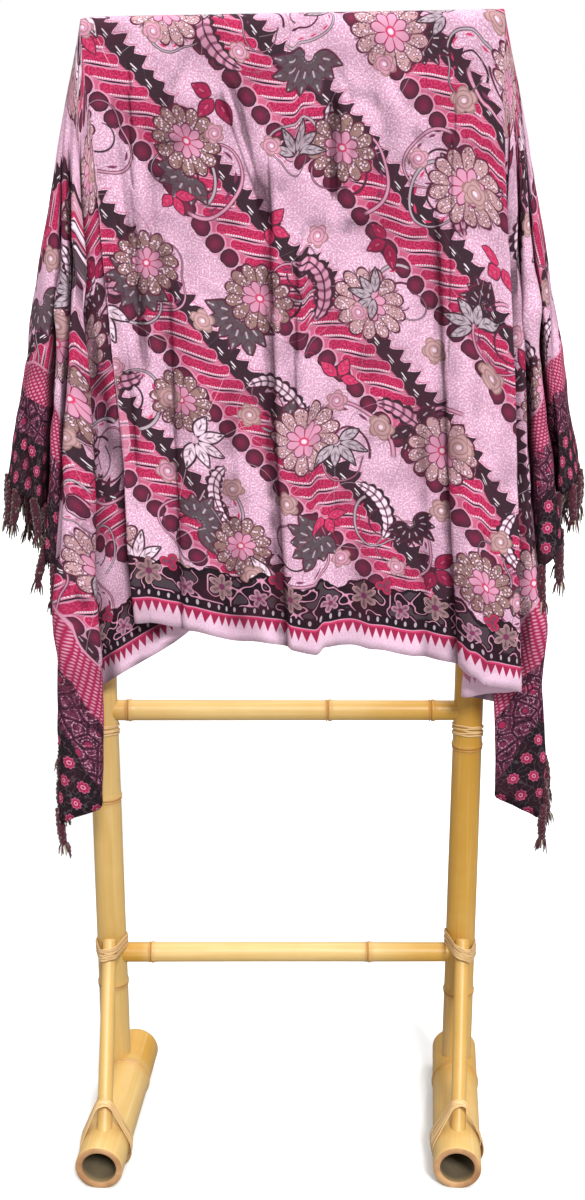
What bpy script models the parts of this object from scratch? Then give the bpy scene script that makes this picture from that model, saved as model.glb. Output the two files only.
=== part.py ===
"""A fringed batik sarong hung over a free-standing bamboo stand.

Metres, +Z up, X along the top bar, -Y towards the front. The origin is the middle of the footprint, on the floor.
The cloth is one rectangle. It hangs straight between the bar's ends, and past each end it falls in folds that
all start at the bar's end: each fold is a straight ray from there, so its place on the flat cloth is an angle.
"""

from math import atan2, cos, hypot, pi, radians, sin, sqrt

import bmesh
import bpy
from mathutils import Matrix, Vector

GAP = 0.0003  # between pieces that touch

# The cloth: a rectangle of CLOTH_WIDTH along the bar by CLOTH_LENGTH over it.
CLOTH_WIDTH = 1.70
CLOTH_LENGTH = 1.10
CLOTH_WALL = 0.0012
FRINGE_LENGTH = 0.060
FRINGE_WALL = 0.006

# The stand.
BAR_RADIUS = 0.0195
BAR_HALF = 0.2535
BAR_HEIGHT = {"left": 1.4830, "right": 1.4920}  # of the bar's axis at each end
POST_RADIUS = 0.0215
POST_TOP_RADIUS = 0.0180
POST_X = {"left": -0.2615, "right": 0.2430}
POST_TOP_X = {"left": -0.2375, "right": 0.2375}
POST_LEAN_FROM = 0.64  # the posts stand upright to here, then lean in to the bar
FOOT_RADIUS = 0.0325
FOOT_BORE = 0.0232
FOOT_BORE_DEPTH = 0.19
FOOT_AXIS_HEIGHT = 0.0305  # lower than its radius, so a flat is shaved under each foot
FOOT_FRONT = {"left": (-0.2616, -0.232), "right": (0.2225, -0.232)}
FOOT_BACK = {"left": (-0.2370, 0.058), "right": (0.2460, 0.058)}
RAIL_RADIUS = 0.0142
RAIL_HEIGHT = {"upper": 0.603, "lower": 0.227}
BRACE_RADIUS = 0.0105
BRACE_FOOT = {"left": (-0.2580, -0.190), "right": (0.2268, -0.190)}
BRACE_TOP_HEIGHT = 0.262
LASHING_WALL = 0.0016
LASHING_WIDTH = 0.016
SIDES = 16  # of a bamboo culm

# How far each bamboo node ring stands out, half its height, and where the rings are from the culm's first end.
RING_RISE = 0.0014
RING_HALF = 0.006
NODE_RINGS = {
    "post_left": (0.136, 0.430, 0.79, 1.14),
    "post_right": (0.122, 0.508, 0.86, 1.20),
    "top_bar": (),
    "upper_rail": (0.024, 0.300, 0.4420),
    "lower_rail": (0.046, 0.360),
    "foot_left": (0.205,),
    "foot_right": (0.198,),
    "brace_left": (),
    "brace_right": (),
}

# The cloth leaves the bar on a cylinder round it, and starts to fall at CLOTH_END from the middle.
CLOTH_RADIUS = BAR_RADIUS + GAP + CLOTH_WALL / 2
CLOTH_END = 0.2555
OVERHANG = CLOTH_WIDTH / 2 - CLOTH_END
OVER_BAR = pi * CLOTH_RADIUS
PLEATS_OPEN_FROM = 0.04  # the folds start this far down each ray
PLEATS_FULL_FROM = 0.30  # and are fully open from here on
WRAP_FROM = 0.20  # the rays before this share of the turn all start where the cloth leaves the bar
SEAM_CROWDED = 0.20
FRONT_FALL_FROM = 0.16
FOLD_ROUND = 0.12  # each fold turns over this share of the cloth to the next one, on both sides

# The front drop, from the bar to the hem, at places along the bar.
FRONT_DROP = (
    # x, drop
    (-0.260, 0.732),
    (-0.190, 0.742),
    (-0.110, 0.764),
    (-0.003, 0.781),
    (0.010, 0.770),
    (0.045, 0.769),
    (0.085, 0.776),
    (0.150, 0.790),
    (0.215, 0.797),
    (0.235, 0.808),
    (0.260, 0.826),
)
# The front drop at the cloth's two front corners, and the angle on the flat cloth by which it is reached.
CORNER_DROP = {"left": 0.823, "right": 0.843}
CORNER_DROP_FROM = {"left": 0.40, "right": 0.10}

# Soft folds of the front panel: where each starts at the bar and ends at the hem, half its width, and how far
# it stands forward at the hem.
PANEL_FOLDS = (
    # x at bar, x at hem, half width, forward
    (-0.150, -0.120, 0.060, 0.010),
    (-0.040, -0.004, 0.035, -0.007),
    (0.090, 0.105, 0.050, 0.009),
    (0.185, 0.200, 0.022, -0.003),
)

# Each fold beyond a bar end: the stretch it belongs to, how far its ray leans out along the bar and back from
# straight down, both as slopes. The rows follow the cloth from the front panel round the end to the back panel.
FOLDS = {
    "left": (
        # stretch, out, back
        ("inner_pleats", -0.095, -0.062),
        ("inner_pleats", -0.068, -0.066),
        ("inner_pleats", -0.073, -0.050),
        ("inner_pleats", -0.190, -0.034),
        ("inner_pleats", -0.190, -0.018),
        ("inner_pleats", 0.030, -0.014),
        ("inner_pleats", 0.048, 0.066),
        ("inner_pleats", 0.058, -0.022),
        ("front_fall", 0.000, -0.072),
        ("front_fall", 0.046, -0.112),
        ("front_fall", 0.070, -0.092),
        ("front_fall", 0.078, 0.080),
        ("outer_fall", 0.095, -0.052),
        ("outer_fall", 0.100, 0.076),
        ("outer_fall", 0.112, -0.034),
        ("outer_fall", 0.150, 0.055),
        ("outer_fall", 0.182, -0.030),
        ("ridge", 0.213, 0.030),
        ("back_fall", 0.225, 0.100),
        ("back_fall", 0.200, 0.200),
        ("back_fall", 0.180, 0.100),
        ("back_fall", 0.160, 0.210),
        ("back_fall", 0.140, 0.100),
        ("back_fall", 0.120, 0.215),
        ("back_fall", 0.100, 0.100),
        ("back_fall", 0.080, 0.220),
        ("back_fall", 0.060, 0.105),
        ("back_fall", 0.035, 0.215),
        ("back_fall", 0.010, 0.110),
        ("back_fall", -0.020, 0.180),
        ("back_fall", -0.050, 0.050),
        ("back_fall", -0.070, 0.030),
        ("back_fall", -0.100, 0.030),
    ),
    "right": (
        ("inner_pleats", 0.000, -0.072),
        ("inner_pleats", 0.020, -0.076),
        ("inner_pleats", 0.055, -0.086),
        ("inner_pleats", 0.055, -0.066),
        ("inner_pleats", -0.080, -0.050),
        ("inner_pleats", -0.080, -0.032),
        ("inner_pleats", 0.050, -0.014),
        ("inner_pleats", 0.060, 0.068),
        ("inner_pleats", 0.078, -0.010),
        ("front_fall", 0.030, -0.038),
        ("front_fall", 0.068, -0.060),
        ("front_fall", 0.098, -0.056),
        ("front_fall", 0.100, 0.085),
        ("outer_fall", 0.128, -0.065),
        ("outer_fall", 0.130, 0.085),
        ("outer_fall", 0.142, -0.050),
        ("outer_fall", 0.165, 0.050),
        ("outer_fall", 0.192, -0.030),
        ("ridge", 0.217, 0.030),
        ("back_fall", 0.228, 0.100),
        ("back_fall", 0.205, 0.190),
        ("back_fall", 0.185, 0.100),
        ("back_fall", 0.160, 0.205),
        ("back_fall", 0.142, 0.100),
        ("back_fall", 0.118, 0.220),
        ("back_fall", 0.100, 0.105),
        ("back_fall", 0.078, 0.215),
        ("back_fall", 0.060, 0.100),
        ("back_fall", 0.036, 0.220),
        ("back_fall", 0.010, 0.110),
        ("back_fall", -0.020, 0.180),
        ("back_fall", -0.050, 0.050),
        ("back_fall", -0.070, 0.030),
        ("back_fall", -0.100, 0.030),
    ),
}
CORNER_FOLD = {"left": 9.5, "right": 10.5}  # the cloth's front corner lies on this row, counted from 0
PANEL_EDGE = {"left": FOLDS["left"][0], "right": FOLDS["right"][0]}
BACK_EDGE_OUT = -0.100
PANEL_MID_BACK = -0.045  # how far the middle of the front panel leans back

# Where along a ray the cloth is sectioned, as shares of its length.
RAY_SHARES = (0.0, 0.04, 0.09, 0.16, 0.27, 0.42, 0.58, 0.74, 0.88, 1.0)
ARC_STEPS = 4  # over a quarter of the bar
PANEL_COLUMNS = 22
BACK_ROWS = 6

COLOURS = {
    # base colour, roughness, metallic
    "batik_cloth": ((0.62, 0.30, 0.42, 1.0), 0.85, 0.0),
    "fringe": ((0.12, 0.05, 0.08, 1.0), 0.90, 0.0),
    "bamboo": ((0.80, 0.60, 0.28, 1.0), 0.45, 0.0),
    "lashing": ((0.74, 0.56, 0.30, 1.0), 0.70, 0.0),
}
OUTWARDS = {"left": -1.0, "right": 1.0}


def clear_scene():
    for old in list(bpy.data.objects):
        bpy.data.objects.remove(old, do_unlink=True)


def collection(name):
    made = bpy.data.collections.new(name)
    bpy.context.scene.collection.children.link(made)
    return made


def material(name, slot):
    colour, roughness, metallic = COLOURS[slot]
    made = bpy.data.materials.new(name)
    made.use_nodes = True
    shader = made.node_tree.nodes["Principled BSDF"]
    shader.inputs["Base Color"].default_value = colour
    shader.inputs["Roughness"].default_value = roughness
    shader.inputs["Metallic"].default_value = metallic
    return made


def mesh_object(name, mesh, slot, home):
    made = bpy.data.objects.new(name, mesh)
    home.objects.link(made)
    made.data.materials.append(material(name, slot))
    return made


def smooth_step(share):
    share = min(max(share, 0.0), 1.0)
    return share * share * (3.0 - 2.0 * share)


def read_off(table, place):
    """The second column of a table at a place between its rows, with soft ends to each step."""
    if place <= table[0][0]:
        return table[0][1]
    for (start, low), (end, high) in zip(table, table[1:]):
        if place <= end:
            return low + (high - low) * smooth_step((place - start) / (end - start))
    return table[-1][1]


# ---- the stand ----


def culm(name, start, end, start_radius, end_radius, home, bend=None):
    """A bamboo stem from start to end, with its node rings, as a mesh."""
    start, end = Vector(start), Vector(end)
    corners = [start] + ([Vector(bend)] if bend else []) + [end]
    runs = [(b - a).length for a, b in zip(corners, corners[1:])]
    length = sum(runs)
    marks = {0.0: 0.0, length: 0.0}
    for run in runs[:-1]:
        marks[run] = 0.0
    for ring in NODE_RINGS[name]:
        marks[ring - RING_HALF] = 0.0
        marks[ring] = RING_RISE
        marks[ring + RING_HALF] = 0.0
    route = bpy.data.curves.new(name, "CURVE")
    route.dimensions = "3D"
    route.bevel_depth = 1.0
    route.bevel_resolution = SIDES // 2 - 2
    route.use_fill_caps = True
    line = route.splines.new("POLY")
    line.points.add(len(marks) - 1)
    for point, (along, rise) in zip(line.points, sorted(marks.items())):
        left, piece = along, 0
        while piece < len(runs) - 1 and left > runs[piece]:
            left -= runs[piece]
            piece += 1
        at = corners[piece].lerp(corners[piece + 1], left / runs[piece])
        point.co = (*at, 1.0)
        point.radius = start_radius + (end_radius - start_radius) * along / length + rise
    guide = bpy.data.objects.new(name + "_route", route)
    home.objects.link(guide)
    graph = bpy.context.evaluated_depsgraph_get()
    solid = bpy.data.meshes.new_from_object(guide.evaluated_get(graph))
    bpy.data.objects.remove(guide, do_unlink=True)
    shape = bmesh.new()
    shape.from_mesh(solid)
    bmesh.ops.remove_doubles(shape, verts=shape.verts, dist=1e-5)
    bmesh.ops.recalc_face_normals(shape, faces=shape.faces)
    shape.to_mesh(solid)
    shape.free()
    made = mesh_object(name, solid, "bamboo", home)
    made.data.shade_smooth()
    made.data.set_sharp_from_angle(angle=radians(40))
    return made


def cutter(name, start, end, radius, home, end_radius=None):
    """A plain cylinder or cone that cuts another piece and isn't part of the object."""
    start, end = Vector(start), Vector(end)
    shape = bmesh.new()
    far_radius = radius if end_radius is None else end_radius
    bmesh.ops.create_cone(
        shape, cap_ends=True, segments=2 * SIDES, radius1=radius, radius2=far_radius, depth=(end - start).length
    )
    turn = (end - start).to_track_quat("Z", "Y").to_matrix().to_4x4()
    bmesh.ops.transform(shape, matrix=Matrix.Translation((start + end) / 2) @ turn, verts=shape.verts)
    solid = bpy.data.meshes.new(name)
    shape.to_mesh(solid)
    shape.free()
    made = bpy.data.objects.new(name, solid)
    home.objects.link(made)
    made.hide_render = True
    made.display_type = "WIRE"
    return made


def floor_cutter(name, height, home):
    """A slab below a height, which shaves what stands on it flat."""
    shape = bmesh.new()
    bmesh.ops.create_cube(shape, size=1.0)
    bmesh.ops.scale(shape, vec=(2.0, 2.0, 0.1), verts=shape.verts)
    bmesh.ops.translate(shape, vec=(0.0, 0.0, height - 0.05), verts=shape.verts)
    solid = bpy.data.meshes.new(name)
    shape.to_mesh(solid)
    shape.free()
    made = bpy.data.objects.new(name, solid)
    home.objects.link(made)
    made.hide_render = True
    made.display_type = "WIRE"
    return made


def cut(piece, tool):
    step = piece.modifiers.new("cut " + tool.name, "BOOLEAN")
    step.operation = "DIFFERENCE"
    step.object = tool


def foot_point(side, y):
    """The middle of a foot's axis at a place from front to back."""
    front, back = FOOT_FRONT[side], FOOT_BACK[side]
    share = (y - front[1]) / (back[1] - front[1])
    return Vector((front[0] + (back[0] - front[0]) * share, y, FOOT_AXIS_HEIGHT))


def post_at(side, height):
    """A post's middle and radius at a height."""
    top = BAR_HEIGHT[side]
    lean = max(height - POST_LEAN_FROM, 0.0) / (top - POST_LEAN_FROM)
    x = POST_X[side] + (POST_TOP_X[side] - POST_X[side]) * lean
    return x, POST_RADIUS + (POST_TOP_RADIUS - POST_RADIUS) * height / top


def belt_outline(discs, grow):
    """The outline of a strap pulled tight round some discs, each (along, across, radius)."""
    points = []
    corners = 2 * SIDES
    outside = 1.0 / cos(pi / corners)  # so that the straight sides between the corners clear the discs
    for k in range(corners):
        turn = 2 * pi * (k + 0.5) / corners
        along, across, radius = max(discs, key=lambda d: d[0] * cos(turn) + d[1] * sin(turn) + d[2])
        reach = (radius + grow) * outside
        points.append((along + reach * cos(turn), across + reach * sin(turn)))
    return points


def lashing(name, discs, low, high, upright, home):
    """Cane wound round one culm or two: a thin wall between two belts. Upright ones wind round a vertical culm."""
    inner = belt_outline(discs, GAP)
    outer = belt_outline(discs, GAP + LASHING_WALL)
    shape = bmesh.new()
    rings = []
    for outline, level in ((inner, low), (outer, low), (outer, high), (inner, high)):
        if upright:
            rings.append([shape.verts.new((a, c, level)) for a, c in outline])
        else:
            rings.append([shape.verts.new((a, level, c)) for a, c in outline])
    for ring, following in zip(rings, rings[1:] + rings[:1]):
        for k in range(len(ring)):
            after = (k + 1) % len(ring)
            shape.faces.new((ring[k], ring[after], following[after], following[k]))
    bmesh.ops.recalc_face_normals(shape, faces=shape.faces)
    solid = bpy.data.meshes.new(name)
    shape.to_mesh(solid)
    shape.free()
    made = mesh_object(name, solid, "lashing", home)
    made.data.shade_smooth()
    made.data.set_sharp_from_angle(angle=radians(40))
    return made


def build_stand(home, tools):
    ends = [Vector((OUTWARDS[side] * BAR_HALF, 0.0, BAR_HEIGHT[side])) for side in ("left", "right")]
    culm("top_bar", ends[0], ends[1], BAR_RADIUS, BAR_RADIUS, home)
    along = (ends[1] - ends[0]).normalized() * 0.05
    bar_cut = cutter("bar_cut", ends[0] - along, ends[1] + along, BAR_RADIUS + GAP, tools)
    shave = floor_cutter("floor_cut", 0.0, tools)
    trim = floor_cutter("lashing_trim", 0.014, tools)
    post_cuts = {}
    for side in ("left", "right"):
        x = POST_X[side]
        foot_start = foot_point(side, FOOT_FRONT[side][1])
        foot_end = foot_point(side, FOOT_BACK[side][1])
        axis = (foot_end - foot_start).normalized()
        foot = culm("foot_" + side, foot_start, foot_end, FOOT_RADIUS, FOOT_RADIUS, home)
        bore = cutter(
            "bore_" + side, foot_start - axis * 0.02, foot_start + axis * FOOT_BORE_DEPTH, FOOT_BORE, tools
        )
        cut(foot, bore)
        cut(foot, shave)
        foot_cut = cutter(
            "foot_cut_" + side, foot_start - axis * 0.05, foot_end + axis * 0.05, FOOT_RADIUS + GAP, tools
        )
        post = culm(
            "post_" + side,
            (x, 0.0, FOOT_AXIS_HEIGHT + 0.012),
            (POST_TOP_X[side], 0.0, BAR_HEIGHT[side]),
            POST_RADIUS,
            POST_TOP_RADIUS,
            home,
            bend=(x, 0.0, POST_LEAN_FROM),
        )
        cut(post, foot_cut)
        cut(post, bar_cut)
        post_cuts[side] = cutter(
            "post_cut_" + side,
            (x, 0.0, 0.05),
            (x, 0.0, POST_LEAN_FROM),
            post_at(side, 0.05)[1] + GAP,
            tools,
            post_at(side, POST_LEAN_FROM)[1] + GAP,
        )
        low = Vector((BRACE_FOOT[side][0], BRACE_FOOT[side][1], FOOT_AXIS_HEIGHT + FOOT_RADIUS * 0.7))
        high = Vector((x, -POST_RADIUS - BRACE_RADIUS * 0.45, BRACE_TOP_HEIGHT))
        brace = culm("brace_" + side, low, high, BRACE_RADIUS, BRACE_RADIUS * 0.94, home)
        cut(brace, foot_cut)
        cut(brace, post_cuts[side])
        band_low = RAIL_HEIGHT["lower"] + RAIL_RADIUS + 0.0015
        discs = [(x, 0.0, post_at(side, band_low)[1])]
        for height in (band_low, band_low + LASHING_WIDTH):
            middle = low.lerp(high, (height - low.z) / (high.z - low.z))
            discs.append((middle.x, middle.y - BRACE_RADIUS * 0.4, BRACE_RADIUS * 1.15))
        lashing("brace_lashing_" + side, discs, band_low, band_low + LASHING_WIDTH, True, home)
        rail_low = RAIL_HEIGHT["upper"] - RAIL_RADIUS - 0.0015
        lashing(
            "rail_lashing_" + side,
            ((x, 0.0, post_at(side, rail_low - LASHING_WIDTH)[1]),),
            rail_low - LASHING_WIDTH,
            rail_low,
            True,
            home,
        )
        band_front = BRACE_FOOT[side][1] + 0.004
        discs = []
        for depth in (band_front, band_front + LASHING_WIDTH):
            foot_middle = foot_point(side, depth)
            discs.append((foot_middle.x, foot_middle.z, FOOT_RADIUS + 0.0006))
            middle = low.lerp(high, (depth - low.y) / (high.y - low.y))
            discs.append((middle.x, middle.z + BRACE_RADIUS * 0.5, BRACE_RADIUS * 1.15))
        binding = lashing("foot_lashing_" + side, discs, band_front, band_front + LASHING_WIDTH, False, home)
        cut(binding, trim)
    for level in ("upper", "lower"):
        height = RAIL_HEIGHT[level]
        rail = culm(
            level + "_rail",
            (POST_X["left"] + 0.010, 0.0, height),
            (POST_X["right"] - 0.010, 0.0, height),
            RAIL_RADIUS,
            RAIL_RADIUS * 0.97,
            home,
        )
        for side in ("left", "right"):
            cut(rail, post_cuts[side])


# ---- the cloth ----


def ridge_row(side):
    """The row of FOLDS whose ray runs on along the bar's line."""
    return [row[0] for row in FOLDS[side]].index("ridge")


def angle_at(side, place):
    """The angle on the flat cloth at a place along the folds, in radians: 0 is straight down at the bar's end,
    pi / 2 along the ridge and pi straight down at the back. Between the places whose angle is known, the turn is
    shared out as the folds' own lengths are, so the cloth keeps its size."""
    rows = FOLDS[side]
    lengths = [0.0]
    for (_, out, back), (_, next_out, next_back) in zip(rows, rows[1:]):
        lengths.append(lengths[-1] + hypot(next_out - out, next_back - back))

    def length_at(where):
        first = min(int(where), len(rows) - 2)
        return lengths[first] + (lengths[first + 1] - lengths[first]) * (where - first)

    known = (
        (0.0, rows[0][1]),
        (length_at(CORNER_FOLD[side]), atan2(OVERHANG, CORNER_DROP[side])),
        (lengths[ridge_row(side)], pi / 2),
        (lengths[-1], pi - rows[-1][1]),
    )
    length = length_at(place)
    for (start, low), (end, high) in zip(known, known[1:]):
        if length <= end:
            return low + (high - low) * (length - start) / (end - start)
    return known[-1][1]


def ray_reach(side, angle):
    """How far the cloth reaches from the bar's end along a ray at this angle on the flat cloth."""
    edge = read_off(FRONT_DROP, OUTWARDS[side] * CLOTH_END)
    start = FOLDS[side][0][1]
    turned = smooth_step((angle - start) / (CORNER_DROP_FROM[side] - start))
    front = edge + (CORNER_DROP[side] - edge) * turned
    back = CLOTH_LENGTH - OVER_BAR - edge
    reaches = []
    if sin(angle) > 1e-6:
        reaches.append(OVERHANG / sin(angle))
    if cos(angle) > 1e-6:
        reaches.append(front / cos(angle))
    if cos(angle) < -1e-6:
        reaches.append(back / -cos(angle))
    return min(reaches)


def fall_point(side, place, distance):
    """A point of the cloth past a bar end: place counts along the rows of FOLDS, distance runs down the ray."""
    rows = FOLDS[side]
    first = min(int(place), len(rows) - 2)
    part = place - first
    out = rows[first][1] + (rows[first + 1][1] - rows[first][1]) * part
    back = rows[first][2] + (rows[first + 1][2] - rows[first][2]) * part
    start, end = angle_at(side, 0), angle_at(side, len(rows) - 1)
    turn = pi * (angle_at(side, place) - start) / (end - start)
    ridge_out = rows[ridge_row(side)][1]
    edge_out = rows[0][1] if turn < pi / 2 else rows[-1][1]
    edge_back = rows[0][2] if turn < pi / 2 else rows[-1][2]
    plain_out = edge_out + (ridge_out - edge_out) * sin(turn)
    plain_back = edge_back * abs(cos(turn))
    opened = smooth_step((distance - PLEATS_OPEN_FROM) / (PLEATS_FULL_FROM - PLEATS_OPEN_FROM))
    lean_out = plain_out + (out - plain_out) * opened
    lean_back = plain_back + (back - plain_back) * opened
    steep = sqrt(1.0 + lean_out * lean_out + lean_back * lean_back)
    round_bar = pi * smooth_step((turn / pi - WRAP_FROM) / (1.0 - 2.0 * WRAP_FROM))
    base = Vector(
        (
            OUTWARDS[side] * CLOTH_END,
            -CLOTH_RADIUS * cos(round_bar),
            BAR_HEIGHT[side] + CLOTH_RADIUS * sin(round_bar),
        )
    )
    return base + Vector((OUTWARDS[side] * lean_out, lean_back, -1.0)) * (distance / steep)


def cloth_object(name, grid, thickness, slot, home):
    """A wall of cloth on a grid of points, its rows running along the bar."""
    shape = bmesh.new()
    rows = [[shape.verts.new(point) for point in row] for row in grid]
    for upper, lower in zip(rows, rows[1:]):
        for k in range(len(upper) - 1):
            shape.faces.new((upper[k], lower[k], lower[k + 1], upper[k + 1]))
    bmesh.ops.remove_doubles(shape, verts=shape.verts, dist=1e-6)
    solid = bpy.data.meshes.new(name)
    shape.to_mesh(solid)
    shape.free()
    made = mesh_object(name, solid, slot, home)
    wall = made.modifiers.new("cloth wall", "SOLIDIFY")
    wall.thickness = thickness
    wall.offset = 0.0
    wall.use_even_offset = False
    return made


def seam_gap(distance):
    """The gap between two stretches, which is wider close to the bar's end, where the folds crowd together."""
    return GAP + CLOTH_WALL * max(1.0 - distance / SEAM_CROWDED, 0.0)


def nudge(place, side, share, ahead_or_back):
    """The point at place, moved half the seam's gap along the cloth, ahead (1) or back (-1)."""
    distance = ray_reach(side, angle_at(side, place)) * share
    here = fall_point(side, place, distance)
    near = fall_point(side, place + 0.02 * ahead_or_back, distance)
    if (near - here).length < 1e-9:
        return here
    return here + (near - here).normalized() * seam_gap(distance) / 2


def build_fall(side, stretch, home):
    """One stretch of folds. It ends half way to its neighbour's first fold, less the gap at the seam."""
    names = [row[0] for row in FOLDS[side]]
    ridge = ridge_row(side)
    members = [k for k, name in enumerate(names) if name == stretch]
    first, last = members[0], members[-1]
    start = first if first == 0 else (first - 0.5 if first - 1 != ridge else ridge)
    end = last if last == len(names) - 1 else (last + 0.5 if last + 1 != ridge else ridge)
    turns = [k + step for k in members for step in (-FOLD_ROUND, FOLD_ROUND) if start < k + step < end]
    places = sorted({start, end, *turns, *(k + 0.5 for k in members[:-1])})
    grid = []
    for share in RAY_SHARES:
        if stretch == "front_fall" and share < FRONT_FALL_FROM:
            continue  # this close to the bar's end it is no wider than its seams
        row = []
        for place in places:
            if place == places[0]:
                row.append(nudge(place, side, share, 1))
            elif place == places[-1]:
                row.append(nudge(place, side, share, -1))
            else:
                row.append(fall_point(side, place, ray_reach(side, angle_at(side, place)) * share))
        grid.append(row)
    if side == "left":
        grid = [row[::-1] for row in grid]
    cloth_object(stretch + "_" + side, grid, CLOTH_WALL, "batik_cloth", home)


def bar_height(x):
    share = (x + CLOTH_END) / (2 * CLOTH_END)
    return BAR_HEIGHT["left"] + (BAR_HEIGHT["right"] - BAR_HEIGHT["left"]) * share


def front_point(share_across, distance):
    """A point of the front panel: share_across runs from its left edge to its right, distance down from the bar."""
    left = -CLOTH_END - PANEL_EDGE["left"][1] * distance + seam_gap(distance)
    right = CLOTH_END + PANEL_EDGE["right"][1] * distance - seam_gap(distance)
    x = left + (right - left) * share_across
    top_x = -CLOTH_END + 2 * CLOTH_END * share_across
    edges = (
        (0.0, PANEL_EDGE["left"][2]),
        (0.35, PANEL_MID_BACK),
        (0.75, PANEL_MID_BACK),
        (1.0, PANEL_EDGE["right"][2]),
    )
    y = -CLOTH_RADIUS + read_off(edges, share_across) * distance
    drop = read_off(FRONT_DROP, top_x)
    for bar_x, hem_x, half_width, forward in PANEL_FOLDS:
        centre = bar_x + (hem_x - bar_x) * distance / drop
        swell = max(1.0 - ((x - centre) / half_width) ** 2, 0.0) ** 2
        y -= forward * swell * smooth_step(distance / drop)
    return Vector((x, y, bar_height(top_x) - distance))


def build_front_panel(home):
    grid = []
    shares = [k / PANEL_COLUMNS for k in range(PANEL_COLUMNS + 1)]
    for k in range(ARC_STEPS):
        turn = pi / 2 * (1 - k / ARC_STEPS)
        row = []
        for share in shares:
            top_x = (2 * share - 1) * (CLOTH_END - seam_gap(0.0))
            y = -CLOTH_RADIUS * cos(turn) - (GAP / 2 if k == 0 else 0.0)
            row.append(Vector((top_x, y, bar_height(top_x) + CLOTH_RADIUS * sin(turn))))
        grid.append(row)
    for share_down in RAY_SHARES:
        row = []
        for share in shares:
            drop = read_off(FRONT_DROP, -CLOTH_END + 2 * CLOTH_END * share)
            row.append(front_point(share, drop * share_down))
        grid.append(row)
    cloth_object("front_panel", grid, CLOTH_WALL, "batik_cloth", home)


def build_back_panel(home):
    grid = []
    shares = [k / PANEL_COLUMNS for k in range(PANEL_COLUMNS + 1)]
    for k in range(ARC_STEPS):
        turn = pi / 2 * (1 + k / ARC_STEPS)
        row = []
        for share in shares:
            top_x = (2 * share - 1) * (CLOTH_END - seam_gap(0.0))
            y = -CLOTH_RADIUS * cos(turn) + (GAP / 2 if k == 0 else 0.0)
            row.append(Vector((top_x, y, bar_height(top_x) + CLOTH_RADIUS * sin(turn))))
        grid.append(row)
    for k in range(BACK_ROWS + 1):
        row = []
        for share in shares:
            top_x = -CLOTH_END + 2 * CLOTH_END * share
            drop = (CLOTH_LENGTH - OVER_BAR - read_off(FRONT_DROP, top_x)) * k / BACK_ROWS
            half = CLOTH_END + BACK_EDGE_OUT * drop - seam_gap(drop)
            x = -half + 2 * half * share
            row.append(Vector((x, CLOTH_RADIUS + FOLDS["left"][-1][2] * drop, bar_height(top_x) - drop)))
        grid.append(row)
    for row in grid:
        row.reverse()
    cloth_object("back_panel", grid, CLOTH_WALL, "batik_cloth", home)


def edge_point(side, place):
    """The point of the cloth's edge on the ray at this place."""
    return fall_point(side, place, ray_reach(side, angle_at(side, place)))


def build_fringe(side, name, places, home):
    """The reach of the tassels that hang from the short edge: a wall just under the lowest of these places on it."""
    edge = [edge_point(side, place) for place in places]
    whole = range(int(places[0]), int(places[-1]) + 2)
    along = [k + step for k in whole for step in (-FOLD_ROUND, FOLD_ROUND, 0.5)]
    top = min(edge_point(side, k).z for k in along if places[0] <= k <= places[-1])
    top -= CLOTH_WALL / 2 + GAP
    grid = [
        [Vector((point.x, point.y, height)) for point in edge]
        for height in (top, top - FRINGE_LENGTH / 2, top - FRINGE_LENGTH)
    ]
    if side == "left":
        grid = [row[::-1] for row in grid]
    cloth_object(name, grid, FRINGE_WALL, "fringe", home)


def centre_on_origin(home):
    """Moves the whole object so that the middle of its footprint is the origin."""
    bpy.context.view_layer.update()
    graph = bpy.context.evaluated_depsgraph_get()
    lows, highs = [1e9, 1e9], [-1e9, -1e9]
    for piece in home.objects:
        shown = piece.evaluated_get(graph)
        for vertex in shown.data.vertices:
            for axis in (0, 1):
                lows[axis] = min(lows[axis], vertex.co[axis])
                highs[axis] = max(highs[axis], vertex.co[axis])
    shift = Vector((-(lows[0] + highs[0]) / 2, -(lows[1] + highs[1]) / 2, 0.0))
    for piece in bpy.data.objects:
        piece.data.transform(Matrix.Translation(shift))


def main():
    clear_scene()
    home = collection("batik sarong on bamboo stand")
    tools = collection("cutters")
    build_stand(home, tools)
    build_front_panel(home)
    build_back_panel(home)
    for side in ("left", "right"):
        for stretch in ("inner_pleats", "front_fall", "outer_fall", "back_fall"):
            build_fall(side, stretch, home)
        outer = [ridge_row(side) + step for step in (-0.6, 0.0, 0.7, 1.4)]
        build_fringe(side, "edge_fringe_" + side, outer, home)
        tip = [CORNER_FOLD[side] + step for step in (-0.5, 0.0, 0.5)]
        build_fringe(side, "corner_fringe_" + side, tip, home)
    centre_on_origin(home)


main()
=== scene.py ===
"""A fringed batik sarong draped over a bamboo display stand.

Sizes are in metres, with +Z up. Places are measured from the point on the floor straight below the middle of
the stand's top bar, and BAR_MIDDLE puts them in the frame.
"""

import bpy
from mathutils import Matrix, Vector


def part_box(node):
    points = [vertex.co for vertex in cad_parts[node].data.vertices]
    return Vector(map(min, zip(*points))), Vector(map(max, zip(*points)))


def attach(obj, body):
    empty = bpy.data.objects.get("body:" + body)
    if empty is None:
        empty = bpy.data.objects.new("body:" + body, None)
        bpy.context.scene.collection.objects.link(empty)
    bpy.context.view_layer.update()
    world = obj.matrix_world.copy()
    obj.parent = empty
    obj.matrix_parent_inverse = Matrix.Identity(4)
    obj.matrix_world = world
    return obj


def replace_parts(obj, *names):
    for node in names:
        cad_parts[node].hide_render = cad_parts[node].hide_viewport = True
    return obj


bl_info = {
    "name": "Batik sarong on bamboo stand",
    "version": (1, 0, 0),
    "blender": (4, 5, 0),
    "location": "3D View > Sidebar > Batik",
    "description": "Drapes a wax-printed sarong with twisted tassels over a lashed bamboo stand",
    "category": "Add Mesh",
}

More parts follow.
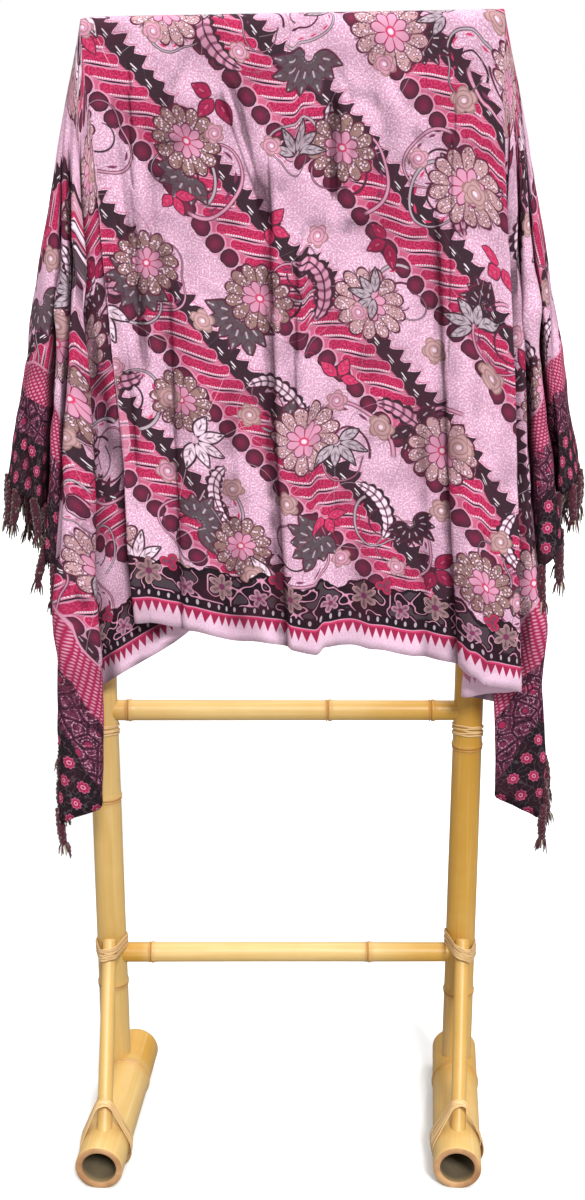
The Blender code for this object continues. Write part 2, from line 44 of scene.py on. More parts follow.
from math import atan2, ceil, cos, exp, hypot, pi, radians, sin, sqrt

import bmesh
import bpy
from bpy.props import FloatProperty, FloatVectorProperty, IntProperty, PointerProperty
from mathutils import Euler, Vector, noise
from mathutils.bvhtree import BVHTree

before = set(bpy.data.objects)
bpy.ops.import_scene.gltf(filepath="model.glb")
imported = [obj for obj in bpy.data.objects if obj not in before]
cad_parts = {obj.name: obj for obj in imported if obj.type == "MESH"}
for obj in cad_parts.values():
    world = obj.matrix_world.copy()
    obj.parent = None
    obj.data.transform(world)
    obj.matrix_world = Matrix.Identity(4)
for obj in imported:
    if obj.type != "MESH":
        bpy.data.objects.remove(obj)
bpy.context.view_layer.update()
BAR_LOW, BAR_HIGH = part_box("top_bar")
BAR_MIDDLE = Vector(((BAR_LOW.x + BAR_HIGH.x) / 2, (BAR_LOW.y + BAR_HIGH.y) / 2, 0.0))

# ---- the cloth's cut and hang ----

CLOTH_WIDTH = 1.70
CLOTH_LENGTH = 1.10
BAR_RADIUS = 0.0195
BAR_HEIGHT = {"left": 1.4830, "right": 1.4920}
CLOTH_RADIUS = BAR_RADIUS + 0.0009
CLOTH_END = 0.2555  # the cloth starts to fall past the bar this far from its middle
OVERHANG = CLOTH_WIDTH / 2 - CLOTH_END
OVER_BAR = pi * CLOTH_RADIUS
PLEATS_OPEN_FROM = 0.04  # how far from the bar the folds start to part
PLEATS_FULL_FROM = 0.30  # and how far from it they have parted
WRAP_FROM = 0.20  # the falls stay in front of the bar for this share of their turn, and behind it as long
FOLD_ROUND = 0.34  # each fold rolls over this share of the cloth to the next one
ROLL_STEPS = (-1.0, -0.72, -0.36, 0.0, 0.36, 0.72, 1.0)  # places in a roll whose leans are averaged
RIDGE_BOW = 0.030  # how much steeper the outermost folds leave the bar than they end
BOW_FROM = 0.1  # how far down they are steepest
BOW_OVER = 0.6  # and how far down they have straightened out

FRONT_DROP = (
    # x, drop
    (-0.260, 0.732),
    (-0.190, 0.742),
    (-0.110, 0.764),
    (-0.003, 0.781),
    (0.010, 0.770),
    (0.045, 0.769),
    (0.085, 0.776),
    (0.150, 0.790),
    (0.215, 0.797),
    (0.235, 0.808),
    (0.260, 0.826),
)
CORNER_DROP = {"left": 0.808, "right": 0.834}
CORNER_DROP_FROM = {"left": 0.40, "right": 0.10}
TIP_FULL = {"left": 0.028, "right": 0.014}  # how much further the hem hangs beside each front corner
TIP_SPREAD = 0.09  # how far from the corner that is at its most, as an angle at the bar's end

FOLDS = {
    # (out, back): how far each fold leans from straight down, from the front panel round to the back one
    "left": (
        (-0.095, -0.062), (-0.068, -0.066), (-0.073, -0.050), (-0.190, -0.034), (-0.190, -0.022),
        (0.024, -0.034), (0.048, 0.060), (0.058, -0.022), (-0.014, -0.072), (0.046, -0.112),
        (0.070, -0.092), (0.060, 0.080), (0.073, -0.060), (0.112, -0.052), (0.108, 0.060),
        (0.122, -0.044), (0.182, -0.034), (0.213, 0.030), (0.225, 0.100), (0.200, 0.200),
        (0.180, 0.100), (0.160, 0.210), (0.140, 0.100), (0.120, 0.215), (0.100, 0.100),
        (0.080, 0.220), (0.060, 0.105), (0.035, 0.215), (0.010, 0.110), (-0.020, 0.180),
        (-0.050, 0.050), (-0.070, 0.030), (-0.100, 0.030),
    ),
    "right": (
        (0.000, -0.072), (0.020, -0.076), (0.055, -0.086), (0.055, -0.066), (-0.034, -0.050),
        (-0.034, -0.032), (0.050, -0.014), (0.060, 0.068), (0.078, -0.010), (0.008, -0.038),
        (0.060, -0.046), (0.100, -0.060), (0.088, 0.085), (0.102, -0.062), (0.146, -0.056),
        (0.142, 0.055), (0.156, -0.048), (0.194, -0.034), (0.217, 0.030), (0.228, 0.100),
        (0.205, 0.190), (0.185, 0.100), (0.160, 0.205), (0.142, 0.100), (0.118, 0.220),
        (0.100, 0.105), (0.078, 0.215), (0.060, 0.100), (0.036, 0.220), (0.010, 0.110),
        (-0.020, 0.180), (-0.050, 0.050), (-0.070, 0.030), (-0.100, 0.030),
    ),
}
RIDGE_FOLD = {"left": 17, "right": 18}  # the outermost fold, where the cloth turns to the back
CORNER_FOLD = {"left": 9.5, "right": 10.5}  # where along the folds the cloth's front corner is
OUTWARDS = {"left": -1.0, "right": 1.0}

FRONT_LEANS = (
    # share across, how far the front panel leans back
    (0.0, FOLDS["left"][0][1]),
    (0.35, -0.045),
    (0.75, -0.045),
    (1.0, FOLDS["right"][0][1]),
)
SIDE_BLEND = 8  # how sharply a panel's height is blended into the falls at its sides
BAR_STEPS = 6  # of the cloth over each quarter of the bar
PRINT_MAP = "print"

PANEL_FOLDS = (
    # x at bar, x at hem, half width, forward
    (-0.150, -0.120, 0.060, 0.010),
    (-0.040, -0.004, 0.035, -0.007),
    (0.090, 0.105, 0.050, 0.009),
    (0.185, 0.200, 0.022, -0.003),
)

LAP_WALL = 0.0065  # how wide the steep side of a lap is
LAP_EASE = 0.050  # and how far beyond it the cloth takes to lie flat again
LAP_REACH = (-0.04, 0.20)  # nothing is moved further from a lap's line than this
LAP_TUCK = 0.35  # how deep the cloth is tucked in at the foot of a lap, as a share of its height
LAP_TUCK_WIDTH = 0.011
LAP_BEYOND = 0.15  # how far past its ends a lap runs out, as a share of its length
CREASE_BEYOND = 0.2
RUN_OUT = 0.3  # the share of its length over which a lap or a crease runs out

# Laps: the cloth steps up steeply on the right of a line, and eases down again beyond it.
LAPS = (
    # u, v at the upper end, u, v at the lower end, height
    (-0.026, 0.610, -0.021, 0.290, 0.0150),
    (-0.021, 0.290, -0.003, -0.020, 0.0160),
    (0.008, 0.520, 0.009, 0.330, 0.0060),
    (0.182, 0.560, 0.204, 0.240, 0.0100),
    (0.204, 0.240, 0.222, -0.020, 0.0130),
    (-0.150, 0.420, -0.142, -0.020, 0.0065),
    (0.060, 0.690, 0.066, 0.560, 0.0050),
    (-0.085, 0.700, -0.050, 0.600, 0.0060),
    (-0.215, 0.560, -0.196, 0.200, 0.0060),
)

CREASE_DEPTH = 3.4  # how many times its height in the table each crease is pressed

# Soft creases on the flat cloth. u runs along the bar and v up from the front hem.
CREASES = (
    # u, v at one end, u, v at the other end, half width, height (a trough is negative)
    (-0.070, 0.700, -0.034, 0.560, 0.009, -0.0030),
    (0.212, 0.480, 0.238, 0.010, 0.013, 0.0030),
    (0.050, 0.690, 0.051, 0.580, 0.007, -0.0020),
    (0.060, 0.700, 0.064, 0.560, 0.008, 0.0018),
    (-0.236, 0.700, -0.206, 0.330, 0.010, 0.0030),
    (-0.220, 0.705, -0.188, 0.360, 0.009, -0.0028),
    (-0.195, 0.690, -0.176, 0.420, 0.010, 0.0022),
    (-0.165, 0.600, -0.150, 0.020, 0.020, -0.0026),
    (-0.125, 0.420, -0.108, 0.000, 0.018, 0.0030),
    (-0.082, 0.300, -0.070, 0.010, 0.014, -0.0024),
    (0.040, 0.240, 0.046, 0.000, 0.015, 0.0024),
    (0.085, 0.420, 0.090, 0.010, 0.017, -0.0022),
    (0.130, 0.700, 0.150, 0.160, 0.018, 0.0022),
    (0.165, 0.300, 0.176, 0.000, 0.014, -0.0026),
    (0.100, 0.745, 0.140, 0.650, 0.012, 0.0016),
    (-0.110, 0.750, -0.150, 0.640, 0.012, 0.0018),
    (-0.330, 0.450, -0.350, 0.060, 0.014, 0.0030),
    (-0.420, 0.600, -0.500, 0.100, 0.016, -0.0030),
    (-0.540, 0.700, -0.700, 0.180, 0.018, 0.0030),
    (-0.620, 0.820, -0.820, 0.700, 0.016, -0.0030),
    (0.330, 0.450, 0.350, 0.050, 0.014, 0.0030),
    (0.420, 0.600, 0.520, 0.120, 0.016, -0.0030),
    (0.560, 0.700, 0.720, 0.200, 0.018, 0.0030),
    (0.620, 0.840, 0.820, 0.720, 0.016, -0.0030),
    (-0.190, 0.880, -0.175, 1.090, 0.016, 0.0030),
    (-0.105, 0.900, -0.090, 1.095, 0.020, -0.0030),
    (0.010, 0.890, 0.000, 1.095, 0.018, 0.0036),
    (0.085, 0.910, 0.095, 1.095, 0.014, -0.0028),
    (0.170, 0.880, 0.150, 1.090, 0.018, 0.0030),
    (-0.400, 0.950, -0.480, 1.090, 0.014, 0.0028),
    (0.390, 0.960, 0.450, 1.090, 0.014, -0.0028),
)

RIPPLES = (
    # cycles for each metre of u and of v, a number that sets it apart, height, where
    (9.0, 3.5, 0.3, 0.0060, "all over"),
    (26.0, 7.0, 4.1, 0.0024, "all over"),
    (40.0, 34.0, 9.1, 0.0008, "all over"),
    (34.0, 3.0, 7.7, 0.0036, "by the hems"),
    (4.0, 30.0, 2.2, 0.0036, "by the short edges"),
)
BY_THE_HEMS = 0.07  # how far in from the hems their own ripples reach
BY_THE_SHORT_EDGES = 0.06

WELD = 2e-5  # points this near each other are one
FREE_BELOW_BAR = 0.10  # creases and ripples are whole this far below the bar
END_SHELTER = 0.06  # and beside the bar's end, from here outwards, they grow
FREE_FROM_END = 0.5  # to whole at this distance from it

FOLD_SHADE_REACH = 0.036  # a fold's wall nearer than this puts painted shade on the cloth beside it
FOLD_SHADE_RAYS = 14
FOLD_SHADE_START = 0.0012  # how far off the cloth each ray starts
FOLD_SHADE_TURN = 2.4  # from one ray to the next round the point, which spreads them evenly
FOLD_SHADE_TILT = 0.94  # the sine of the widest ray's angle from straight out
FAR_WALL = 0.6  # how much less a wall at the end of a ray counts than one at its start
FOLD_SHADE_DENT = 0.0007  # a dent of this depth between neighbouring points counts as full painted shade
SUNK_LIMITS = (-0.10, 0.60)


def smooth_step(share):
    share = min(max(share, 0.0), 1.0)
    return share * share * (3.0 - 2.0 * share)


def read_off(table, place):
    """The second column of a table at a place between its rows, with soft ends to each step."""
    if place <= table[0][0]:
        return table[0][1]
    for (start, low), (end, high) in zip(table, table[1:]):
        if place <= end:
            return low + (high - low) * smooth_step((place - start) / (end - start))
    return table[-1][1]


def fold_lengths(side):
    """How far along the folds each row of FOLDS is, measured on the slopes."""
    lengths = [0.0]
    for (out, back), (next_out, next_back) in zip(FOLDS[side], FOLDS[side][1:]):
        lengths.append(lengths[-1] + hypot(next_out - out, next_back - back))
    return lengths


FOLD_LENGTHS = {side: fold_lengths(side) for side in FOLDS}


def between(values, place):
    """A value part of the way from one of a list's values to the next."""
    first = min(int(place), len(values) - 2)
    return values[first] + (values[first + 1] - values[first]) * (place - first)


def angle_at(side, place):
    """The angle on the flat cloth at a place along the folds: 0 is straight down from the bar's end, pi / 2
    is along the ridge and pi is straight down at the back."""
    rows, lengths = FOLDS[side], FOLD_LENGTHS[side]
    known = (
        (0.0, rows[0][0]),
        (between(lengths, CORNER_FOLD[side]), atan2(OVERHANG, CORNER_DROP[side])),
        (lengths[RIDGE_FOLD[side]], pi / 2),
        (lengths[-1], pi - rows[-1][0]),
    )
    length = between(lengths, place)
    for (start, low), (end, high) in zip(known, known[1:]):
        if length <= end:
            return low + (high - low) * (length - start) / (end - start)
    return known[-1][1]


class Ray:
    """One straight line of the cloth, from a bar end down to its edge."""

    def __init__(self, side, place):
        rows = FOLDS[side]
        last = len(rows) - 1
        self.side = side
        self.angle = angle_at(side, place)
        roll = min(FOLD_ROUND, place, last - place)
        steps = [roll * share for share in ROLL_STEPS]
        outs, backs = [row[0] for row in rows], [row[1] for row in rows]
        self.out = sum(between(outs, place + step) for step in steps) / len(steps)
        self.back = sum(between(backs, place + step) for step in steps) / len(steps)
        start, end = angle_at(side, 0), angle_at(side, last)
        turn = pi * (self.angle - start) / (end - start)
        edge = rows[0] if turn < pi / 2 else rows[-1]
        self.plain_out = edge[0] + (rows[RIDGE_FOLD[side]][0] - edge[0]) * sin(turn)
        self.plain_back = edge[1] * abs(cos(turn))
        self.bow = RIDGE_BOW * sin(turn) ** 4
        self.round_bar = pi * smooth_step((turn / pi - WRAP_FROM) / (1.0 - 2.0 * WRAP_FROM))
        edge_drop = read_off(FRONT_DROP, OUTWARDS[side] * CLOTH_END)
        turned = smooth_step((self.angle - start) / (CORNER_DROP_FROM[side] - start))
        front = edge_drop + (CORNER_DROP[side] - edge_drop) * turned
        corner = atan2(OVERHANG, CORNER_DROP[side])
        beside = (corner - self.angle) / TIP_SPREAD
        front += TIP_FULL[side] * smooth_step(beside) * smooth_step(2.0 - beside)
        back = CLOTH_LENGTH - OVER_BAR - edge_drop
        sideways, down = sin(self.angle), cos(self.angle)
        edges = ((OVERHANG, sideways), (front, down), (back, -down))
        self.reach = min(distance / slope for distance, slope in edges if slope > 1e-6)
        faded = smooth_step((self.angle - corner) / (pi / 2 - corner))
        self.hem_up = front + (edge_drop - front) * faded + CLOTH_RADIUS * self.round_bar

    def point(self, distance):
        opened = smooth_step((distance - PLEATS_OPEN_FROM) / (PLEATS_FULL_FROM - PLEATS_OPEN_FROM))
        out = self.plain_out + (self.out - self.plain_out) * opened
        back = self.plain_back + (self.back - self.plain_back) * opened
        out += self.bow * (1.0 - distance / BOW_OVER) * smooth_step(distance / BOW_FROM)
        steep = sqrt(1.0 + out * out + back * back)
        outwards = OUTWARDS[self.side]
        height = BAR_HEIGHT[self.side] + CLOTH_RADIUS * sin(self.round_bar)
        start = Vector((outwards * CLOTH_END, -CLOTH_RADIUS * cos(self.round_bar), height))
        return start + Vector((outwards * out, back, -1.0)) * (distance / steep)

    def flat(self, distance):
        """Where the point is on the flat cloth: u along the bar from its middle, and v up from the hem."""
        along = CLOTH_END + sin(self.angle) * distance
        return (OUTWARDS[self.side] * along, self.hem_up - cos(self.angle) * distance)


def bar_height(x):
    """The height of the bar's middle line, which slopes a little."""
    share = (x + CLOTH_END) / (2 * CLOTH_END)
    return BAR_HEIGHT["left"] + (BAR_HEIGHT["right"] - BAR_HEIGHT["left"]) * share


def panel_row(front, across_steps, down):
    """A row across the front or back panel, as (point, place on the flat cloth). It ends on the first or
    last rays of the falls."""
    ends = {}
    for side in ("left", "right"):
        ray = Ray(side, 0 if front else len(FOLDS[side]) - 1)
        ends[side] = (ray.point(ray.reach * down), ray.flat(ray.reach * down))
    row = []
    for k in range(across_steps + 1):
        across = k / across_steps
        top_x = (2 * across - 1) * CLOTH_END
        drop = read_off(FRONT_DROP, top_x)
        if front:
            distance = drop * down
            lean = read_off(FRONT_LEANS, across)
        else:
            distance = (CLOTH_LENGTH - OVER_BAR - drop) * down
            lean = -FOLDS["left"][-1][1]
        left, right = ends["left"][0], ends["right"][0]
        x = left.x + (right.x - left.x) * across
        y = (-CLOTH_RADIUS + lean * distance) * (1 if front else -1)
        if front:
            for bar_x, hem_x, half_width, forward in PANEL_FOLDS:
                centre = bar_x + (hem_x - bar_x) * down
                swell = max(1.0 - ((x - centre) / half_width) ** 2, 0.0) ** 2
                y -= forward * swell * smooth_step(down)
        share = {"left": (1.0 - across) ** SIDE_BLEND, "right": across**SIDE_BLEND}
        z = bar_height(top_x) - distance
        for side, (point, _) in ends.items():
            edge_drop = read_off(FRONT_DROP, OUTWARDS[side] * CLOTH_END)
            edge = edge_drop if front else CLOTH_LENGTH - OVER_BAR - edge_drop
            z += (point.z - (BAR_HEIGHT[side] - edge * down)) * share[side]
        if across in (0.0, 1.0):
            x, y, z = ends["left" if across == 0.0 else "right"][0]
        up = drop - distance if front else drop + OVER_BAR + distance
        row.append((Vector((x, y, z)), (x, up)))
    return row


def bar_rows(front, across_steps):
    """The rows of the cloth over a quarter of the bar, from its top down."""
    rows = []
    for k in range(BAR_STEPS):
        turn = pi / 2 * (1 - k / BAR_STEPS if front else 1 + k / BAR_STEPS)
        row = []
        for j in range(across_steps + 1):
            x = (2 * j / across_steps - 1) * CLOTH_END
            point = Vector((x, -CLOTH_RADIUS * cos(turn), bar_height(x) + CLOTH_RADIUS * sin(turn)))
            row.append((point, (x, read_off(FRONT_DROP, x) + CLOTH_RADIUS * turn)))
        rows.append(row)
    return rows


def fall_rows(side, first, last, per_fold, shares):
    """One side's fall from its first fold to its last, as rows of (point, place on the flat cloth)."""
    count = ceil(abs(last - first) * per_fold)
    rays = [Ray(side, first + (last - first) * k / count) for k in range(count + 1)]
    return [[(ray.point(ray.reach * t), ray.flat(ray.reach * t)) for ray in rays] for t in shares]


def cloth_grids(sizes):
    """The whole cloth as grids of (point, place on the flat cloth), whose outsides all face the same way."""
    shares = [k / sizes.rows for k in range(sizes.rows + 1)]
    across = sizes.panel_columns
    left_last, right_last = len(FOLDS["left"]) - 1, len(FOLDS["right"]) - 1
    front = bar_rows(True, across) + [panel_row(True, across, t) for t in shares]
    back = bar_rows(False, across) + [panel_row(False, across, t) for t in shares]
    return (
        fall_rows("left", RIDGE_FOLD["left"], 0, sizes.columns_per_fold, shares),
        front,
        fall_rows("right", 0, RIDGE_FOLD["right"], sizes.columns_per_fold, shares),
        fall_rows("right", RIDGE_FOLD["right"], right_last, sizes.columns_per_back_fold, shares),
        [row[::-1] for row in back],
        fall_rows("left", left_last, RIDGE_FOLD["left"], sizes.columns_per_back_fold, shares),
    )


def share_along(u, v, line):
    """Where the point of a line nearest to a place is: 0 at the line's start and 1 at its end."""
    u0, v0, u1, v1 = line
    run_u, run_v = u1 - u0, v1 - v0
    return ((u - u0) * run_u + (v - v0) * run_v) / (run_u * run_u + run_v * run_v)


def run_out(share, beyond):
    """1 along a line, falling to 0 at this share of its length beyond either end."""
    return smooth_step((share + beyond) / RUN_OUT) * smooth_step((1.0 + beyond - share) / RUN_OUT)


def crease_height(u, v):
    """How far the soft creases and the laps lift the cloth at a place on it."""
    height = 0.0
    for u0, v0, u1, v1, half_width, rise in CREASES:
        share = share_along(u, v, (u0, v0, u1, v1))
        aside = hypot(u - u0 - (u1 - u0) * share, v - v0 - (v1 - v0) * share)
        if -CREASE_BEYOND < share < 1.0 + CREASE_BEYOND and aside <= 3 * half_width:
            fade = run_out(share, CREASE_BEYOND)
            height += CREASE_DEPTH * rise * fade * exp(-((aside / half_width) ** 2))
    for u0, v0, u1, v1, rise in LAPS:
        share = share_along(u, v, (u0, v0, u1, v1))
        aside = u - u0 - (u1 - u0) * share
        if -LAP_BEYOND < share < 1.0 + LAP_BEYOND and LAP_REACH[0] < aside < LAP_REACH[1]:
            step = smooth_step(aside / LAP_WALL + 0.5) * exp(-max(aside, 0.0) / LAP_EASE)
            tuck = LAP_TUCK * exp(-(((aside + LAP_WALL) / LAP_TUCK_WIDTH) ** 2))
            height += rise * run_out(share, LAP_BEYOND) * (step - tuck)
    return height


def unevenness(x, y, z):
    """A smooth, scattered number from about -1 to 1, always the same at the same place."""
    return noise.noise(Vector((x, y, z)))


def ripple_height(u, v):
    """Small uneven waves all over, and more of them towards the edges."""
    strength = {
        "all over": 1.0,
        "by the hems": smooth_step(1.0 - min(v, CLOTH_LENGTH - v) / BY_THE_HEMS),
        "by the short edges": smooth_step(1.0 - (CLOTH_WIDTH / 2 - abs(u)) / BY_THE_SHORT_EDGES),
    }
    drift = 0.0
    for across, up, apart, height, where in RIPPLES:
        drift += unevenness(u * across, v * up, apart) * height * strength[where]
    return drift


def smooth_mesh(name, shape, sharp_from=None):
    """Turns a finished bmesh into a smooth mesh, with its edges sharp from this angle on."""
    for face in shape.faces:
        face.smooth = True
    mesh = bpy.data.meshes.new(name)
    shape.to_mesh(mesh)
    shape.free()
    if sharp_from:
        mesh.set_sharp_from_angle(angle=radians(sharp_from))
    return mesh


def cloth_mesh(name, grids):
    """The cloth as one surface, creased, with its flat places in metres as the UV map PRINT_MAP."""
    shape = bmesh.new()
    flat_map = shape.loops.layers.uv.new(PRINT_MAP)
    for grid in grids:
        rows = [[(shape.verts.new(point), flat) for point, flat in row] for row in grid]
        for upper, lower in zip(rows, rows[1:]):
            for k in range(len(upper) - 1):
                corners = (upper[k], lower[k], lower[k + 1], upper[k + 1])
                face = shape.faces.new([vertex for vertex, _ in corners])
                for loop, (_, flat) in zip(face.loops, corners):
                    loop[flat_map].uv = flat
                zone = print_zone([flat[0] for _, flat in corners], [flat[1] for _, flat in corners])
                face.material_index = 2 * list(PRINT_ZONES).index(zone)
    bmesh.ops.remove_doubles(shape, verts=shape.verts, dist=WELD)
    shape.normal_update()
    moves = []
    for vertex in shape.verts:
        if not vertex.link_loops:
            continue
        u, v = vertex.link_loops[0][flat_map].uv
        side = "left" if vertex.co.x < 0 else "right"
        end = Vector((OUTWARDS[side] * CLOTH_END, 0.0, BAR_HEIGHT[side]))
        free = smooth_step((bar_height(vertex.co.x) - vertex.co.z) / FREE_BELOW_BAR)
        if abs(vertex.co.x) > CLOTH_END - END_SHELTER:
            free *= min((vertex.co - end).length / FREE_FROM_END, 1.0)
        moves.append((vertex, vertex.normal * (crease_height(u, v) + ripple_height(u, v)) * free))
    for vertex, move in moves:
        vertex.co += move
    # how much painted shade each point gets in the folds
    mark_fold_shade(shape)
    for vertex in shape.verts:
        vertex.co += BAR_MIDDLE
    return smooth_mesh(name, shape)


def mark_fold_shade(shape):
    """Marks each point of the cloth's outside with how much painted shade it gets for lying deep in a fold,
    from 0 to about 1.
    """
    painted_fold_shade = shape.verts.layers.float.new("painted_fold_shade")
    shape.normal_update()
    walls = BVHTree.FromBMesh(shape)
    for vertex in shape.verts:
        across = vertex.normal.orthogonal().normalized()
        other = vertex.normal.cross(across)
        start = vertex.co + vertex.normal * FOLD_SHADE_START
        blocked = 0.0
        for k in range(FOLD_SHADE_RAYS):
            turn = FOLD_SHADE_TURN * k
            tilt = sqrt((k + 0.5) / FOLD_SHADE_RAYS) * FOLD_SHADE_TILT
            ray = vertex.normal * sqrt(1 - tilt * tilt) + (across * cos(turn) + other * sin(turn)) * tilt
            met = walls.ray_cast(start, ray, FOLD_SHADE_REACH)[3]
            if met is not None:
                blocked += 1.0 - FAR_WALL * met / FOLD_SHADE_REACH
        near = [edge.other_vert(vertex).co for edge in vertex.link_edges]
        sunk = 0.0
        if near:
            sunk = (sum(near, Vector()) / len(near) - vertex.co).dot(vertex.normal) / FOLD_SHADE_DENT
        vertex[painted_fold_shade] = blocked / FOLD_SHADE_RAYS + max(min(sunk, SUNK_LIMITS[1]), SUNK_LIMITS[0])


# ---- shader building ----

SHARP_EDGE = 0.0003  # how wide the soft edge of a drawn shape is
FINE_EDGE = 0.0004
WAX_EDGE = 0.0006
MOTIF_EDGE = 0.012  # the same in a motif, where 1 is its radius


def from_srgb(red, green, blue):
    """A screen colour, 0 to 255, as the linear colour that a shader takes."""
    shares = [channel / 255 for channel in (red, green, blue)]
    linear = [c / 12.92 if c <= 0.04045 else ((c + 0.055) / 1.055) ** 2.4 for c in shares]
    return (*linear, 1.0)


class Field:
    """A number that changes over a surface. Arithmetic on it adds Math nodes to its tree."""

    def __init__(self, tree, socket):
        self.tree = tree
        self.socket = socket

    def math(self, operation, *others, clamp=False):
        made = self.tree.nodes.new("ShaderNodeMath")
        made.operation = operation
        made.use_clamp = clamp
        for socket, value in zip(made.inputs, (self, *others)):
            join(self.tree, value, socket)
        return Field(self.tree, made.outputs[0])

    def __add__(self, other):
        return self.math("ADD", other)

    def __sub__(self, other):
        return self.math("SUBTRACT", other)

    def __rsub__(self, other):
        return self * -1.0 + other

    def __neg__(self):
        return self * -1.0

    def __mul__(self, other):
        return self.math("MULTIPLY", other)

    def __truediv__(self, other):
        return self.math("DIVIDE", other)

    def __abs__(self):
        return self.math("ABSOLUTE")

    def low(self, other):
        return self.math("MINIMUM", other)

    def high(self, other):
        return self.math("MAXIMUM", other)

    def modulo(self, pitch):
        return self.math("FLOORED_MODULO", pitch)

    def floor(self):
        return self.math("FLOOR")

    def sine(self):
        return self.math("SINE")

    def squared(self):
        return self * self

    def power(self, exponent):
        return self.math("POWER", exponent)

    def root(self):
        return self.math("SQRT")

    def fraction(self):
        return self.math("FRACT")

    def length_with(self, other):
        return (self.squared() + other.squared()).root()

    def scaled(self, times, plus=0.0):
        """The number times something plus something, kept between 0 and 1."""
        return self.math("MULTIPLY_ADD", times, plus, clamp=True)

    def around(self, pitch):
        """How far the number is from the nearest whole pitch, below it or above."""
        return self.math("WRAP", pitch / 2, -pitch / 2)

    def inside(self, soft=SHARP_EDGE):
        """1 where a distance is below nothing, 0 where it is above, with an edge as soft as this."""
        return self.scaled(-0.5 / soft, 0.5)

    def near(self, middle, half, soft=SHARP_EDGE):
        """1 where the number is within half of the middle."""
        return (abs(self - middle) - half).inside(soft)


def join(tree, value, socket):
    """Links a Field or a socket to a node's input, or sets the input to a plain value."""
    if isinstance(value, Field):
        value = value.socket
    if isinstance(value, bpy.types.NodeSocket):
        tree.links.new(value, socket)
    else:
        socket.default_value = value


def mix(tree, share, under, over):
    """A colour that goes from one to another as a share goes from 0 to 1."""
    made = tree.nodes.new("ShaderNodeMix")
    made.data_type = "RGBA"
    join(tree, share, made.inputs[0])
    join(tree, under, made.inputs[6])
    join(tree, over, made.inputs[7])
    return made.outputs[2]


class Paint:
    """A colour that is painted over, one shape after another."""

    def __init__(self, tree, ground):
        self.tree = tree
        self.colour = ground

    def over(self, share, ink):
        """Covers a share of what is there with a colour, or with an ink by its name."""
        self.colour = mix(self.tree, share, self.colour, INK[ink] if isinstance(ink, str) else ink)


def noise_over(tree, place, scale, detail=2.0, stretch=(1.0, 1.0, 1.0)):
    """Smooth noise, 0 to 1, over a place. scale is in cycles for each metre of it."""
    mapping = tree.nodes.new("ShaderNodeMapping")
    mapping.inputs["Scale"].default_value = stretch
    join(tree, place, mapping.inputs["Vector"])
    made = tree.nodes.new("ShaderNodeTexNoise")
    made.inputs["Scale"].default_value = scale
    made.inputs["Detail"].default_value = detail
    tree.links.new(mapping.outputs[0], made.inputs["Vector"])
    return Field(tree, made.outputs[0])


def cells_over(tree, place, scale, feature="F1"):
    """The distance to the nearest of many scattered points, or to the edge between two of them."""
    made = tree.nodes.new("ShaderNodeTexVoronoi")
    made.feature = feature
    made.inputs["Scale"].default_value = scale
    join(tree, place, made.inputs["Vector"])
    return Field(tree, made.outputs[0])


SOCKETS = {"colour": "NodeSocketColor", "value": "NodeSocketFloat", "vector": "NodeSocketVector"}


def start_group(name, takes, gives):
    """A new shader node group, as (tree, its inputs by name, its output node)."""
    tree = bpy.data.node_groups.new(name, "ShaderNodeTree")
    for title, kind in takes:
        tree.interface.new_socket(title, in_out="INPUT", socket_type=SOCKETS[kind])
    for title, kind in gives:
        tree.interface.new_socket(title, in_out="OUTPUT", socket_type=SOCKETS[kind])
    start = tree.nodes.new("NodeGroupInput")
    end = tree.nodes.new("NodeGroupOutput")
    fields = {}
    for (title, kind), socket in zip(takes, start.outputs):
        fields[title] = Field(tree, socket) if kind == "value" else socket
    return tree, fields, end


def use_group(tree, name, values):
    """Places a node group and sets or links its inputs, given by their names."""
    made = tree.nodes.new("ShaderNodeGroup")
    made.node_tree = bpy.data.node_groups[name]
    for title, value in values.items():
        join(tree, value, made.inputs[title])
    return made


def split(tree, vector):
    made = tree.nodes.new("ShaderNodeSeparateXYZ")
    join(tree, vector, made.inputs[0])
    return [Field(tree, socket) for socket in made.outputs]


def read_mark(tree, title, output="Vector"):
    """What a mesh holds at each point under a name."""
    read = tree.nodes.new("ShaderNodeAttribute")
    read.attribute_name = title
    return read.outputs[output]


def start_material(name):
    """A new material, as (material, its tree, its Principled BSDF)."""
    made = bpy.data.materials.new(name)
    made.use_nodes = True
    return made, made.node_tree, made.node_tree.nodes["Principled BSDF"]


def finish_material(tree, shader, colour, height, strength, distance, settings):
    """Joins a colour and a height to the shader, and sets more of its inputs, given by their names."""
    join(tree, colour, shader.inputs["Base Color"])
    bump = tree.nodes.new("ShaderNodeBump")
    bump.inputs["Strength"].default_value = strength
    bump.inputs["Distance"].default_value = distance
    join(tree, height, bump.inputs["Height"])
    join(tree, bump.outputs[0], shader.inputs["Normal"])
    for title, value in settings.items():
        shader.inputs[title].default_value = value


# ---- the wax print ----

PRINT_COLOURS = {
    "field": (235, 191, 215),
    "field light": (251, 221, 238),
    "field deep": (214, 160, 190),
    "crimson": (213, 56, 103),
    "crimson deep": (164, 34, 76),
    "rose": (204, 98, 132),
    "bead": (88, 38, 56),
    "bead heart": (132, 38, 72),
    "outline": (220, 154, 182),
    "charcoal": (54, 36, 44),
    "black": (20, 13, 17),
    "white": (240, 226, 234),
    "grey": (190, 172, 184),
    "slate": (90, 78, 84),
    "plum": (120, 52, 88),
    "beige": (200, 156, 160),
    "olive": (156, 122, 116),
    "selvedge": (240, 210, 230),
    # painted shade, laid over the print deep in the folds
    "painted_fold_shade": (40, 14, 26),
}
INK = {name: from_srgb(*colour) for name, colour in PRINT_COLOURS.items()}

